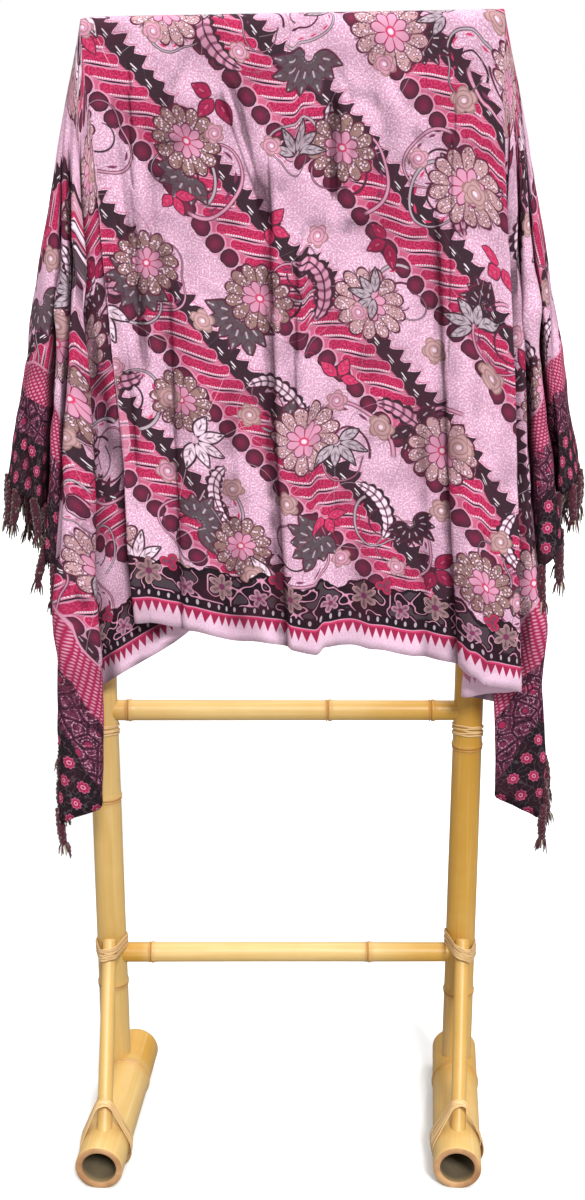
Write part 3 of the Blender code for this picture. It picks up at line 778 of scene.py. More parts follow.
BAND_PITCH = 0.22  # from one diagonal band to the next, measured level
STEP_PITCH = 0.0175  # from one finger of a band to the next, measured upright
MOTIF_NUMBERS = ("Pitch U", "Pitch V", "Shift", "Size", "Jitter", "Left out", "Number", "Width")
MOTIF_INKS = ("Fill", "Other fill", "Line", "Accent")
MOTIF_LAYERS = (
    # kind, first u, first v, MOTIF_NUMBERS, MOTIF_INKS
    ("vine", 0.070, 0.040, (0.150, 0.165, 0.070, 0.060, 0.050, 0.10, 1.0, 0.032),
     ("charcoal", "bead", "outline", "plum")),
    ("vine", 0.010, 0.090, (0.175, 0.150, 0.030, 0.048, 0.060, 0.15, 1.0, 0.036),
     ("bead", "charcoal", "grey", "crimson")),
    ("plume", 0.000, 0.100, (0.190, 0.150, 0.050, 0.050, 0.060, 0.20, 9.0, 0.30),
     ("field light", "outline", "charcoal", "plum")),
    ("spray", 0.100, 0.080, (0.145, 0.150, 0.100, 0.046, 0.060, 0.18, 7.0, 0.42),
     ("charcoal", "slate", "bead", "grey")),
    ("daisy", 0.020, 0.030, (0.155, 0.170, 0.087, 0.045, 0.060, 0.22, 13.0, 0.30),
     ("olive", "beige", "outline", "field light")),
    ("spray", 0.050, 0.000, (0.165, 0.175, 0.060, 0.046, 0.060, 0.35, 5.0, 0.32),
     ("grey", "field light", "charcoal", "slate")),
    ("spray", 0.090, 0.060, (0.140, 0.190, 0.045, 0.034, 0.070, 0.50, 3.0, 0.46),
     ("crimson", "crimson deep", "bead", "rose")),
    ("rosebud", 0.000, 0.050, (0.090, 0.105, 0.040, 0.0150, 0.050, 0.35, 5.0, 0.0),
     ("outline", "beige", "olive", "field light")),
)
MOTIF_PLACE_TAKES = tuple((title, "value") for title in ("U", "V", *MOTIF_NUMBERS[:6]))
MOTIF_TAKES = (
    *((title, "value") for title in ("U", "V", *MOTIF_NUMBERS, "Dots")),
    *((title, "colour") for title in ("Under", *MOTIF_INKS)),
)


def build_placing():
    """Where a place is in its cell's motif: how far out, which way, and a number for the cell."""
    tree, given, end = start_group(
        "motif place",
        MOTIF_PLACE_TAKES,
        (("Radius", "value"), ("Angle", "value"), ("Chance", "value")),
    )
    row = (given["V"] / given["Pitch V"]).floor()
    y = given["V"] - (row + 0.5) * given["Pitch V"]
    moved_u = given["U"] - row * given["Shift"]
    column = (moved_u / given["Pitch U"]).floor()
    x = moved_u - (column + 0.5) * given["Pitch U"]
    chance = ((row * 12.99 + column * 78.23 + given["Size"] * 900.0).sine() * 43.7).fraction()
    second = (chance * 17.3).fraction()
    x = x + (chance - 0.5) * given["Jitter"]
    y = y + (second - 0.5) * given["Jitter"]
    missing = (second * 5.0).fraction().math("LESS_THAN", given["Left out"]) * 9.0
    radius = x.length_with(y) / (given["Size"] * (second * 0.35 + 0.80)) + missing
    angle = (y.math("ARCTAN2", x) + chance * 40.0).math("WRAP", pi, -pi)
    for value, socket in zip((radius, angle, second), end.inputs):
        join(tree, value, socket)


def build_motif(kind, draw):
    """A kind of motif as a node group. draw paints it, from radius 0 in its middle to about 1 at its rim."""
    tree, given, end = start_group(kind, MOTIF_TAKES, (("Color", "colour"),))
    place = use_group(tree, "motif place", {title: given[title] for title, _ in MOTIF_PLACE_TAKES})
    radius, angle, chance = [Field(tree, socket) for socket in place.outputs]
    fill = mix(tree, chance.math("GREATER_THAN", 0.5), given["Fill"], given["Other fill"])
    paint = Paint(tree, given["Under"])
    draw(paint, given, radius, angle, fill)
    join(tree, paint.colour, end.inputs[0])


def draw_daisy(paint, given, radius, angle, fill):
    """A many-petalled flower with a dotted fill, rings of short petals and a pale eye."""
    wave = abs((angle * given["Number"] * 0.5).sine())
    rim = radius - (wave.root() * given["Width"] + 0.70)
    paint.over(rim.inside(MOTIF_EDGE), fill)
    speckled = (given["Dots"] - 0.36).inside(0.06) * (rim + 0.03).inside(0.02)
    paint.over(speckled * 0.8, given["Accent"])
    ringed = given["Dots"].near(0.46, 0.07, 0.03) * (rim + 0.03).inside(0.02)
    paint.over(ringed * 0.75, "bead")
    rib = (wave - 0.20).inside(0.08) * radius.near(0.62, 0.34, 0.05)
    paint.over(rib * 0.8, "bead")
    inner_wave = abs((angle * 4.0 + 0.4).sine())
    inner = radius - (inner_wave * 0.16 + 0.34)
    paint.over(inner.inside(0.02), given["Line"])
    paint.over((abs(inner) - 0.022).inside(0.01), "plum")
    paint.over((inner_wave - 0.22).inside(0.05) * radius.near(0.24, 0.12, 0.02), "crimson deep")
    paint.over((radius - 0.13).inside(0.02), "crimson")
    paint.over((radius - 0.07).inside(0.02), given["Accent"])
    paint.over((abs(rim) - 0.030).inside(MOTIF_EDGE), "bead")


def draw_rosebud(paint, given, radius, angle, fill):
    """A small round rose drawn as a spiral."""
    rim = radius - (abs((angle * given["Number"] * 0.5).sine()) * 0.30 + 0.70)
    paint.over(rim.inside(0.03), fill)
    spiral = (radius * 3.1 - angle / (2 * pi)).fraction()
    paint.over(spiral.near(0.5, 0.13, 0.06) * rim.inside(0.03), given["Line"])
    paint.over((radius - 0.17).inside(0.04), given["Accent"])
    paint.over((abs(rim) - 0.06).inside(0.03), given["Line"])


def draw_spray(paint, given, radius, angle, fill):
    """Pointed leaves in a fan, each with an outline and a dotted vein."""
    step = given["Number"].math("POWER", -1.0) * 3.7
    leaf = (angle / step + 0.5).floor()
    reach = (given["Number"] - 1.0) * 0.5
    leaf = leaf.low(reach).high(-reach)
    aside = angle - leaf * step
    along = radius * aside.math("COSINE")
    across = abs(radius * aside.sine())
    length = (leaf * 1.9).sine() * 0.10 + 0.90
    share = ((along - 0.10) / (length - 0.10)).high(0.0).low(1.0)
    half = (share.power(0.8) * pi).sine() * given["Width"] * 0.5
    edge = across - half
    paint.over(edge.inside(0.015), fill)
    dashes = (along * 18.0).sine().near(1.0, 0.9, 0.2)
    paint.over((across - 0.020).inside(MOTIF_EDGE) * dashes * share.near(0.5, 0.42, 0.03), given["Accent"])
    veins = (along * 26.0 - across * 30.0).sine().near(1.0, 0.35, 0.2) * (edge + 0.03).inside(0.01)
    paint.over(veins * 0.45, given["Line"])
    outline = (abs(edge) - 0.026).inside(MOTIF_EDGE) * share.near(0.5, 0.49, 0.01)
    paint.over(outline, given["Line"])


def draw_plume(paint, given, radius, angle, fill):
    """A curved feather: a pale body with cross strokes, inside a dark lobed edge."""
    x = radius * angle.math("COSINE")
    down = radius * angle.sine() + 0.9
    bend = x.length_with(down) - 1.0
    along = x.math("ARCTAN2", down)
    share = (abs(along) / 1.05).low(1.0)
    taper = (1.0 - share.squared()).root()
    lobes = abs((along * given["Number"] * 1.5).sine())
    half = taper * (lobes * 0.09 + given["Width"] * 0.7)
    edge = abs(bend) - half
    paint.over(edge.inside(0.015), given["Line"])
    body = abs(bend) - taper * (lobes * 0.04 + given["Width"] * 0.46)
    paint.over(body.inside(MOTIF_EDGE), fill)
    strokes = (along * given["Number"] * 3.0 + abs(bend) * 9.0).sine().near(1.0, 0.5, 0.25)
    paint.over(strokes * body.inside(MOTIF_EDGE) * 0.8, given["Accent"])
    rib = (abs(bend) - 0.022).inside(MOTIF_EDGE) * share.near(0.4, 0.55, 0.03)
    paint.over(rib, given["Line"])


def draw_vine(paint, given, radius, angle, fill):
    """A ribbon stem that curls inwards: a pale middle with a dark outline, and buds along one side."""
    wound = (angle / (2 * pi) + 0.5).fraction()
    waved = radius + (angle * 3.0).sine() * 0.07 + (angle * 2.0 + 1.0).sine() * 0.09
    stem = waved + wound * 0.50 - 0.92
    outline = abs(stem) - given["Width"] * (wound * -1.1 + 1.6)
    shown = wound.near(0.52, 0.47, 0.01)
    paint.over(outline.inside(0.01) * shown, fill)
    paint.over((outline + given["Width"] * 0.62).inside(0.01) * shown, given["Line"])
    curl = abs(radius + wound * 0.30 - 0.46) - given["Width"] * (wound * -0.7 + 0.9)
    paint.over(curl.inside(0.01) * wound.near(0.36, 0.36, 0.01), fill)
    buds = abs((wound * 34.0).sine()) * -0.085 + 0.055
    paint.over((abs(stem + 0.12) + buds).inside(0.01) * wound.near(0.36, 0.24, 0.01), given["Accent"])


MOTIFS = {
    "daisy": draw_daisy,
    "rosebud": draw_rosebud,
    "spray": draw_spray,
    "plume": draw_plume,
    "vine": draw_vine,
}

# Each diagonal band, measured level from its own start: beads, fingers on rose, then a dark toothed band.
BAND_START = 0.035  # where the first band starts
BEAD_MIDDLE = 0.0150
BEAD_RADIUS = 0.0104
BEAD_LINE = 0.0116
BEAD_RIM = 0.0132
ROSE_FROM = 0.024
ROSE_TO = 0.092
DARK_FROM = 0.088
DARK_TO = 0.109
STITCHES = (
    # middle, half width, middle and half length as shares of the bead pitch
    (0.1065, 0.0011, 0.42, 0.20),
    (0.1025, 0.0007, 0.55, 0.10),
)
FINGER_MIDDLE = 0.0640
FINGER_HALF_LENGTH = 0.0240
FINGER_HALF_WIDTH = 0.0053
SLIM_MIDDLE = 0.0610
SLIM_HALF_LENGTH = 0.026


def paint_bands(paint, u, v, grounds):
    """Diagonal bands on a pink field: beads, crimson fingers, then a dark band with a toothed edge."""
    speckle = grounds["speckle"]
    level = u + v + BAND_START
    band = level.modulo(BAND_PITCH)
    along = (u - v) / sqrt(2.0)
    bead_pitch = STEP_PITCH * sqrt(2.0)
    paint.over(speckle.scaled(3.2, -1.15), "field")
    paint.over(speckle.scaled(5.0, -2.7), "field light")
    saw = (along / bead_pitch * 1.5).fraction()
    spike = (saw * 1.45).power(1.6).low((1.0 - saw) * 3.2)
    tooth = spike * 0.017 + grounds["curl"] * 0.020 + DARK_TO
    dark = (band - tooth).inside(WAX_EDGE) * (DARK_FROM - band).inside(WAX_EDGE)
    paint.over((band - tooth - 0.0042).near(0.0, 0.0009, WAX_EDGE), "rose")
    paint.over(dark, "charcoal")
    stitches = []
    for middle, half, start, length in STITCHES:
        stitches.append(band.near(middle, half) * (along / bead_pitch).fraction().near(start, length, 0.04))
    paint.over(stitches[0].high(stitches[1]), "white")
    paint.over((ROSE_FROM - band).inside(WAX_EDGE) * (band - ROSE_TO).inside(WAX_EDGE), "rose")
    row = ((v / STEP_PITCH).floor() + 0.5) * STEP_PITCH
    up = v - row
    in_row = (u + row + BAND_START).modulo(BAND_PITCH) - FINGER_MIDDLE
    lobe = (abs(in_row) - FINGER_HALF_LENGTH).high(0.0)
    scallop = abs((in_row * 190.0).sine()) * 0.0009
    finger = lobe.length_with(up) - scallop - FINGER_HALF_WIDTH
    paint.over((finger - 0.0011).inside(FINE_EDGE), "outline")
    flame = mix(paint.tree, speckle.scaled(4.0, -1.6), INK["crimson deep"], INK["crimson"])
    paint.over(finger.inside(FINE_EDGE), flame)
    edge_row = (v / STEP_PITCH + 0.5).floor() * STEP_PITCH
    edge_up = v - edge_row
    in_edge = (u + edge_row + BAND_START).modulo(BAND_PITCH) - SLIM_MIDDLE
    slim = (in_edge / SLIM_HALF_LENGTH).squared() * -0.0012 + 0.0011
    paint.over((abs(edge_up) - slim - 0.0006).inside(FINE_EDGE), "outline")
    paint.over((abs(edge_up) - slim).inside(), "black")
    dotted = edge_up.near(0.0029, 0.0008) * in_edge.near(0.0, 0.0250)
    paint.over(dotted * (in_edge / 0.0030).fraction().near(0.5, 0.32), "white")
    across = (band - BEAD_MIDDLE) / sqrt(2.0)
    from_bead = across.length_with(along.modulo(bead_pitch) - bead_pitch / 2)
    paint.over(from_bead.near(BEAD_RIM, 0.0009), "outline")
    paint.over((from_bead - BEAD_LINE).inside(FINE_EDGE), "black")
    paint.over((from_bead - BEAD_RADIUS).inside(WAX_EDGE), "bead")
    paint.over((from_bead - BEAD_RADIUS / 2).inside(0.003) * 0.8, "bead heart")


# The long borders, measured in from the cloth's edge.
DARK_BORDER_TO = 0.066
BORDER_LINES = ((0.0355, "outline"), (0.0342, "crimson"))
SELVEDGE_TO = 0.0315
DROP_MIDDLE = 0.0425
DROP_PITCH = 0.0125
DROP_HALF = (0.0017, 0.0034)
FANG_FOOT = 0.0165
FANG_PITCH = 0.0105
BORDER_FLOWERS = (
    # pitch, start, height, size, petals, ink
    (0.094, 0.000, 0.071, 0.0180, 6.0, "beige"),
    (0.094, 0.045, 0.060, 0.0130, 5.0, "outline"),
    (0.141, 0.020, 0.088, 0.0120, 3.0, "crimson"),
)


def paint_long_border(paint, u, v, grounds):
    """The dark flowered border, tooth row and pale selvedge of both long edges."""
    edge = v.low(CLOTH_LENGTH - v)
    top = abs((u * 52.0).sine()) * 0.010 + grounds["leafy"] * 0.034 + DARK_BORDER_TO
    paint.over((edge - top).inside(WAX_EDGE), "black")
    curl = grounds["curl"]
    curls = curl.near(0.50, 0.022, 0.01) * (edge - top + 0.004).inside(WAX_EDGE)
    paint.over(curls * (0.047 - edge).inside(WAX_EDGE), "outline")
    patches = (0.60 - curl).inside(0.01) * (edge - top + 0.006).inside(WAX_EDGE)
    paint.over(patches * (0.050 - edge).inside(0.001) * 0.55, "slate")
    for pitch, start, height, size, petals, ink in BORDER_FLOWERS:
        x = (u + start).around(pitch)
        y = edge - height
        radius = x.length_with(y)
        petal = abs((y.math("ARCTAN2", x) * petals * 0.5).sine())
        rim = radius - (petal * 0.55 + 0.45) * size
        paint.over((rim - 0.0010).inside(FINE_EDGE), "black")
        paint.over(rim.inside(FINE_EDGE) * 0.55, ink)
        paint.over((abs(rim + 0.0006) - 0.0006).inside(FINE_EDGE) * 0.85, ink)
        rib = (0.90 - petal).inside(0.05) * radius.near(size * 0.5, size * 0.25)
        paint.over(rib * 0.8, "slate")
        paint.over((radius - size * 0.24).inside(FINE_EDGE), "plum")
    drop_x = u.around(DROP_PITCH) / DROP_HALF[0]
    drop_y = (edge - DROP_MIDDLE) / DROP_HALF[1]
    paint.over((drop_x.length_with(drop_y) - 1.0).inside(0.12), "grey")
    for top_of_line, ink in BORDER_LINES:
        paint.over((edge - top_of_line).inside(), ink)
    pale = mix(paint.tree, grounds["speckle"].scaled(3.0, -1.0), INK["field"], INK["selvedge"])
    paint.over((edge - SELVEDGE_TO).inside(), pale)
    fang = abs(u.around(FANG_PITCH)) - (edge - FANG_FOOT) * 0.36
    paint.over(fang.inside() * edge.near(0.0240, 0.0078), "crimson deep")


# The short borders, measured in from the cloth's edge.
DOTTED_RIM = 0.176
DOTTED_TO = 0.173
MOTTLED_TO = 0.128
ROSETTES_TO = 0.077
DOT_LANE = 0.0050
DOT_PITCH = 0.0068
DOT_RADIUS = 0.0013
ROSETTE_PITCH = 0.033
ROSETTE_ROWS = ((0.0, 0.018), (0.0165, 0.040), (0.0, 0.062))  # start along the edge, depth


def paint_short_border(paint, u, v, grounds):
    """The end borders: dots on crimson, then a mottled plum band, then black with rosettes."""
    speckle, cells, veins = grounds["speckle"], grounds["cells"], grounds["veins"]
    edge = CLOTH_WIDTH / 2 - abs(u)
    wave = (v * 90.0).sine() * 0.0035 + (v * 23.0).sine() * 0.006
    paint.over((edge - wave - DOTTED_RIM).inside(WAX_EDGE), "outline")
    dotted = (edge - wave - DOTTED_TO).inside(WAX_EDGE)
    paint.over(dotted, "crimson deep")
    slant = edge + v * 0.5
    lane = (slant / DOT_LANE).floor()
    dot_x = slant.modulo(DOT_LANE) - DOT_LANE / 2
    dot_y = (v + lane * (DOT_PITCH / 2)).around(DOT_PITCH)
    dots = (dot_x * 0.9).length_with(dot_y * 0.62) - DOT_RADIUS
    paint.over(dots.inside(0.0005) * dotted * 0.9, "outline")
    mottled = (edge - MOTTLED_TO - wave * 0.6).inside(WAX_EDGE)
    paint.over(mottled, "bead")
    paint.over((grounds["faint"] - 0.47).inside(0.04) * mottled, "black")
    paint.over((cells - 0.22).inside(0.03) * mottled, "crimson deep")
    lace = cells.near(0.34, 0.035, 0.02) + veins.near(0.11, 0.02, 0.02)
    lace = lace * (0.56 - speckle).inside(0.10)
    paint.over(lace.low(1.0) * mottled, "outline")
    paint.over((veins - 0.045).inside(0.015) * mottled, "black")
    paint.over((speckle - 0.42).inside(0.05) * mottled * 0.6, "plum")
    black = (edge - ROSETTES_TO - wave * 0.4).inside(WAX_EDGE)
    paint.over(black, "black")
    faint = grounds["faint"].near(0.5, 0.02, 0.015) * black
    paint.over(faint * 0.55, "slate")
    for start, depth in ROSETTE_ROWS:
        x = (v + start).around(ROSETTE_PITCH)
        y = edge - depth
        radius = x.length_with(y)
        petal = abs((y.math("ARCTAN2", x) * 4.0).sine())
        rim = radius - (petal * 0.0022 + 0.0062)
        paint.over(rim.inside(FINE_EDGE) * 0.85, "rose")
        paint.over((rim + 0.0014).inside(FINE_EDGE), "crimson deep")
        paint.over(radius.near(0.0024, 0.0006), "outline")


def in_turn(tree, colour, *fields):
    """The same fields, made to wait until a colour is known. Motifs worked out all at once overflow the
    shader's memory."""
    parts = tree.nodes.new("ShaderNodeSeparateColor")
    join(tree, colour, parts.inputs[0])
    nothing = Field(tree, parts.outputs[0]) * 1e-9
    return [field + nothing for field in fields]


PRINT_ZONES = {
    # name: (the bands and motifs, the long borders, the short borders)
    "field": (True, False, False),
    "edges": (True, True, True),
    "ends": (False, False, True),
}
LONG_BORDER_WITHIN = 0.125  # no long border reaches further in than this
SHORT_BORDER_WITHIN = 0.190
SHORT_BORDER_ALONE = 0.160  # nothing but the short border shows further out than this
PRINT_WANDER = 0.0045  # how far the hand-drawn lines stray
BORDER_WANDER = 0.004
THREADS = 2600.0  # of the weave, in radians for each metre


def print_zone(u, v):
    """Which zone of the print a stretch of the cloth lies in, from its corners' places."""
    outermost, innermost = max(map(abs, u)), min(map(abs, u))
    if innermost > CLOTH_WIDTH / 2 - SHORT_BORDER_ALONE:
        return "ends"
    clear_of_ends = outermost < CLOTH_WIDTH / 2 - SHORT_BORDER_WITHIN
    if clear_of_ends and min(v) > LONG_BORDER_WITHIN and max(v) < CLOTH_LENGTH - LONG_BORDER_WITHIN:
        return "field"
    return "edges"


def build_print(zone):
    """The print over one zone of the flat cloth, and the weave's height."""
    with_field, with_long, with_short = PRINT_ZONES[zone]
    gives = (("Color", "colour"), ("Weave", "value"))
    tree, given, end = start_group("batik print " + zone, (("Flat place", "vector"),), gives)
    place = given["Flat place"]
    drawn = tree.nodes.new("ShaderNodeTexNoise")
    drawn.inputs["Scale"].default_value = 22.0
    drawn.inputs["Detail"].default_value = 0.0
    join(tree, place, drawn.inputs["Vector"])
    u_true, v_true, _ = split(tree, place)
    red, green, blue = split(tree, drawn.outputs["Color"])
    grounds = {
        "speckle": noise_over(tree, place, 460.0, 0.0),
        "leafy": noise_over(tree, place, 38.0, 2.0),
        "curl": noise_over(tree, place, 62.0, 0.0),
        "faint": noise_over(tree, place, 90.0, 1.0),
        "dots": cells_over(tree, place, 250.0),
        "cells": cells_over(tree, place, 46.0),
        "veins": cells_over(tree, place, 46.0, "DISTANCE_TO_EDGE"),
    }
    paint = Paint(tree, INK["field deep" if with_field else "outline"])
    if with_field:
        u = u_true + (red - 0.5) * PRINT_WANDER
        v = v_true + (green - 0.5) * PRINT_WANDER
        paint_bands(paint, u, v, grounds)
        for kind, first_u, first_v, numbers, inks in MOTIF_LAYERS:
            own_u, own_v = in_turn(tree, paint.colour, u - first_u, v - first_v)
            values = {"U": own_u, "V": own_v, "Dots": grounds["dots"], "Under": paint.colour}
            values.update(zip(MOTIF_NUMBERS, numbers))
            values.update((title, INK[ink]) for title, ink in zip(MOTIF_INKS, inks))
            paint.colour = use_group(tree, kind, values).outputs[0]
    for paint_border in [paint_long_border] * with_long + [paint_short_border] * with_short:
        near_u = u_true + (red - 0.5) * BORDER_WANDER
        near_v = v_true + (green - 0.5) * BORDER_WANDER
        if with_field:
            near_u, near_v = in_turn(tree, paint.colour, near_u, near_v)
        paint_border(paint, near_u, near_v, grounds)
    paint.over(grounds["speckle"] * 0.03, "field")
    paint.over((blue - 0.42).math("MULTIPLY", 0.9, clamp=True), "bead")
    join(tree, paint.colour, end.inputs["Color"])
    threads = (u_true * THREADS).sine() * (v_true * THREADS).sine()
    join(tree, threads * 0.5, end.inputs["Weave"])


def cotton(name, zone, fade):
    """Printed cotton, with painted shade in the folds on its right side. fade is how far its print has
    paled, as on the wrong side.
    """
    made, tree, shader = start_material(name)
    flat = tree.nodes.new("ShaderNodeUVMap")
    flat.uv_map = PRINT_MAP
    printed = use_group(tree, "batik print " + zone, {"Flat place": flat.outputs[0]})
    paint = Paint(tree, printed.outputs["Color"])
    paint.over(fade, "field")
    if not fade:
        # On the right side, painted shade darkens the print deep in the folds.
        fold_shade_share = Field(tree, read_mark(tree, "painted_fold_shade", "Fac")).scaled(1.65, -0.12)
        paint.over(fold_shade_share * 0.7, "painted_fold_shade")
    settings = {"Roughness": 0.9, "Specular IOR Level": 0.08}
    finish_material(tree, shader, paint.colour, printed.outputs["Weave"], 0.25, 0.0004, settings)
    return made


# ---- the twisted tassels ----

SWING = 0.30  # how far a tassel may hang from straight down
UNEVEN_LENGTH = 0.10  # and how much longer or shorter it may be than most
TWISTED_SHARE = 0.78  # of a tassel's length, above its brush
SEWN_IN = 0.003  # how far a tassel starts above the edge
PLIES = 3
PLY_POINTS = 13
PLY_TURNS = 2.6
PLY_SPREAD = 0.17  # how far a ply is from the tassel's middle, as a share of the brush's width
PLY_RADIUS = 0.20  # a share of it too
PLY_SWELL = 0.05
SWAY = 0.004
HAIRS = 12
HAIR_ROOT = 0.0016
HAIR_SPREAD = (0.40, 0.12)  # how far a hair's tip is from the middle and how much that varies, as shares
HAIR_RADII = (0.0013, 0.0013, 0.0008)
HAIR_WOBBLE = 0.0016
PLY_SIDES = 6
HAIR_SIDES = 4


def edge_places(cloth):
    """The points of each short edge as (v, point), from its front corner round to its back one."""
    flat_map = cloth.data.uv_layers[PRINT_MAP].data
    found = {"left": {}, "right": {}}
    for loop in cloth.data.loops:
        u, v = flat_map[loop.index].uv
        if abs(u) > CLOTH_WIDTH / 2 - 1e-4:
            found["left" if u < 0 else "right"][round(v, 5)] = cloth.data.vertices[loop.vertex_index].co
    return {side: sorted(places.items()) for side, places in found.items()}


def along_edge(places, v):
    """The point of a short edge at one v of the flat cloth."""
    for (low, start), (high, end) in zip(places, places[1:]):
        if v <= high:
            return start.lerp(end, min(max((v - low) / max(high - low, 1e-9), 0.0), 1.0))
    return places[-1][1].copy()


def add_thread(shape, path, radii, sides, colour_layer, tint):
    """A round thread through the points of a path, closed at both ends."""
    rings = []
    for k, (point, radius) in enumerate(zip(path, radii)):
        ahead = (path[min(k + 1, len(path) - 1)] - path[max(k - 1, 0)]).normalized()
        across = ahead.orthogonal().normalized()
        if k:
            across = (last_across - ahead * last_across.dot(ahead)).normalized()
        last_across = across
        other = ahead.cross(across)
        ring = []
        for j in range(sides):
            turn = 2 * pi * j / sides
            vertex = shape.verts.new(on_circle(point, across, other, radius, turn))
            vertex[colour_layer] = tint
            ring.append(vertex)
        rings.append(ring)
    for upper, lower in zip(rings, rings[1:]):
        for j in range(sides):
            after = (j + 1) % sides
            shape.faces.new((upper[j], upper[after], lower[after], lower[j]))
    shape.faces.new(rings[0][::-1])
    shape.faces.new(rings[-1])


def on_circle(middle, side, other, radius, turn):
    """A point round a middle, in the plane of two directions."""
    return middle + side * (radius * cos(turn)) + other * (radius * sin(turn))


def add_tassel(shape, top, number, sizes, colour_layer):
    """Three twisted plies that hang from the cloth's edge and end in a loose brush."""
    swing = Vector((unevenness(number * 3.7, 1.3, 0), unevenness(number * 2.9, 7.1, 0) * 0.5, 0)) * SWING
    length = sizes.length * (1.0 + UNEVEN_LENGTH * unevenness(number * 5.1, 0.2, 3.0))
    twisted = length * TWISTED_SHARE
    hang = (Vector((0, 0, -1)) + swing).normalized()
    side = hang.orthogonal().normalized()
    other = hang.cross(side)
    ends = []
    for ply in range(PLIES):
        path, radii = [], []
        for k in range(PLY_POINTS):
            share = k / (PLY_POINTS - 1)
            turn = 2 * pi * (ply / PLIES + share * PLY_TURNS) + number
            spread = sizes.width * (PLY_SPREAD + PLY_SWELL * sin(pi * share))
            at = top + hang * (share * twisted - SEWN_IN)
            sway = side * (SWAY * sin(share * 2.4 + number) * share)
            path.append(on_circle(at + sway, side, other, spread, turn))
            radii.append(sizes.width * (PLY_RADIUS + PLY_SWELL * sin(pi * share)))
        tint = (0.15 + 0.75 * (unevenness(number * 1.7, ply * 3.3, 2.0) * 0.5 + 0.5), 0.0, 1.0)
        add_thread(shape, path, radii, PLY_SIDES, colour_layer, tint)
        ends.append(path[-1])
    middle = sum(ends, Vector()) / PLIES
    for hair in range(HAIRS):
        turn = 2 * pi * hair / HAIRS + number
        wobble = Vector([unevenness(number * 2.3, hair * 1.9, 5.0 + 7.3 * k) for k in range(3)])
        wobble *= HAIR_WOBBLE
        root = on_circle(middle - hang * 0.004, side, other, HAIR_ROOT, turn)
        spread = sizes.width * (HAIR_SPREAD[0] + HAIR_SPREAD[1] * sin(hair * 2.3 + number))
        tip = root + hang * (length - twisted + 0.005 + 0.004 * sin(hair * 5.0 + number))
        tip += side * (spread * cos(turn)) + other * (spread * sin(turn)) + wobble
        knee = on_circle(root.lerp(tip, 0.45), side, other, spread * 0.25, turn)
        pale = 1.0 if hair % 5 == number % 5 else 0.0
        tint = (0.2 + 0.06 * hair, pale, 1.0)
        add_thread(shape, [root, knee, tip], HAIR_RADII, HAIR_SIDES, colour_layer, tint)


def fringe_mesh(name, cloth, sizes):
    """The tassels of both short edges, as one mesh."""
    shape = bmesh.new()
    colour_layer = shape.verts.layers.float_vector.new("tint")
    number = 0
    for places in edge_places(cloth).values():
        for k in range(sizes.tassels):
            v = CLOTH_LENGTH * (k + 0.5) / sizes.tassels
            add_tassel(shape, along_edge(places, v), number, sizes, colour_layer)
            number += 1
    return smooth_mesh(name, shape)


def twisted_thread(name, sizes):
    """Dark, maroon and pale cotton thread, flecked all over."""
    made, tree, shader = start_material(name)
    shade, pale, _ = split(tree, read_mark(tree, "tint"))
    paint = Paint(tree, (*sizes.dark_colour, 1.0))
    paint.over(shade, (*sizes.maroon_colour, 1.0))
    place = tree.nodes.new("ShaderNodeTexCoord").outputs["Object"]
    flecks = noise_over(tree, place, 300.0, 2.0)
    paint.over((flecks - 0.36).inside(0.02) * 0.35, (*sizes.pale_colour, 1.0))
    paint.over(pale * 0.8, (*sizes.pale_colour, 1.0))
    settings = {"Roughness": 0.9, "Specular IOR Level": 0.2, "Sheen Weight": 0.3}
    fibres = noise_over(tree, place, 1400.0, 2.0)
    finish_material(tree, shader, paint.colour, fibres, 0.4, 0.0006, settings)
    return made


# ---- the bamboo stand ----

POST_RADIUS = 0.0215
POST_TOP_RADIUS = 0.0180
POST_X = {"left": -0.2615, "right": 0.2430}
POST_TOP_X = {"left": -0.2375, "right": 0.2375}
POST_LEAN_FROM = 0.64
FOOT_RADIUS = 0.0325
FOOT_BORE = (0.19, 0.0232)  # depth, radius
FOOT_HEIGHT = 0.0305
FOOT_FRONT = {"left": (-0.2616, -0.232), "right": (0.2225, -0.232)}
FOOT_BACK = {"left": (-0.2370, 0.058), "right": (0.2460, 0.058)}
RAIL_RADIUS = 0.0142
RAIL_HEIGHT = {"upper": 0.603, "lower": 0.227}
BRACE_RADIUS = 0.0105
BRACE_FOOT = {"left": (-0.2580, -0.190), "right": (0.2268, -0.190)}
BRACE_TOP_HEIGHT = 0.262
BRACE_LOW_HEIGHT = FOOT_HEIGHT + FOOT_RADIUS * 0.7
BAR_END = 0.2535
POST_INSET = 0.012  # how far a post stops from the middle of the foot and of the bar
RAIL_INSET = 0.010  # how far a rail's end stops from the middle of a post, inside it
CUT_EDGE = 0.0012  # the small round on a culm's cut ends
CULM_STEPS = 70
CULM_UNEVEN = 0.016
CULM_SHARP_FROM = 50.0  # degrees

# Millimetres from a node ring to the points of the culm's outline beside it
RING_STEPS = (-12, -7, -4.6, -3.2, -2.2, -1.4, -0.8, -0.3, 0.2, 0.7, 1.4, 2.3, 3.4, 4.8, 7, 12)
RING_SHAPE = (
    # rise, middle, width: the sheath's scar, the groove above it and the collar
    (0.0011, -0.0013, 0.0010),
    (-0.0009, 0.0002, 0.0006),
    (0.0016, 0.0030, 0.0028),
)
RING_MARKS = (
    # strength, middle, width of a node's darker colour
    (1.0, 0.0002, 0.0016),
    (0.45, 0.0, 0.006),
)

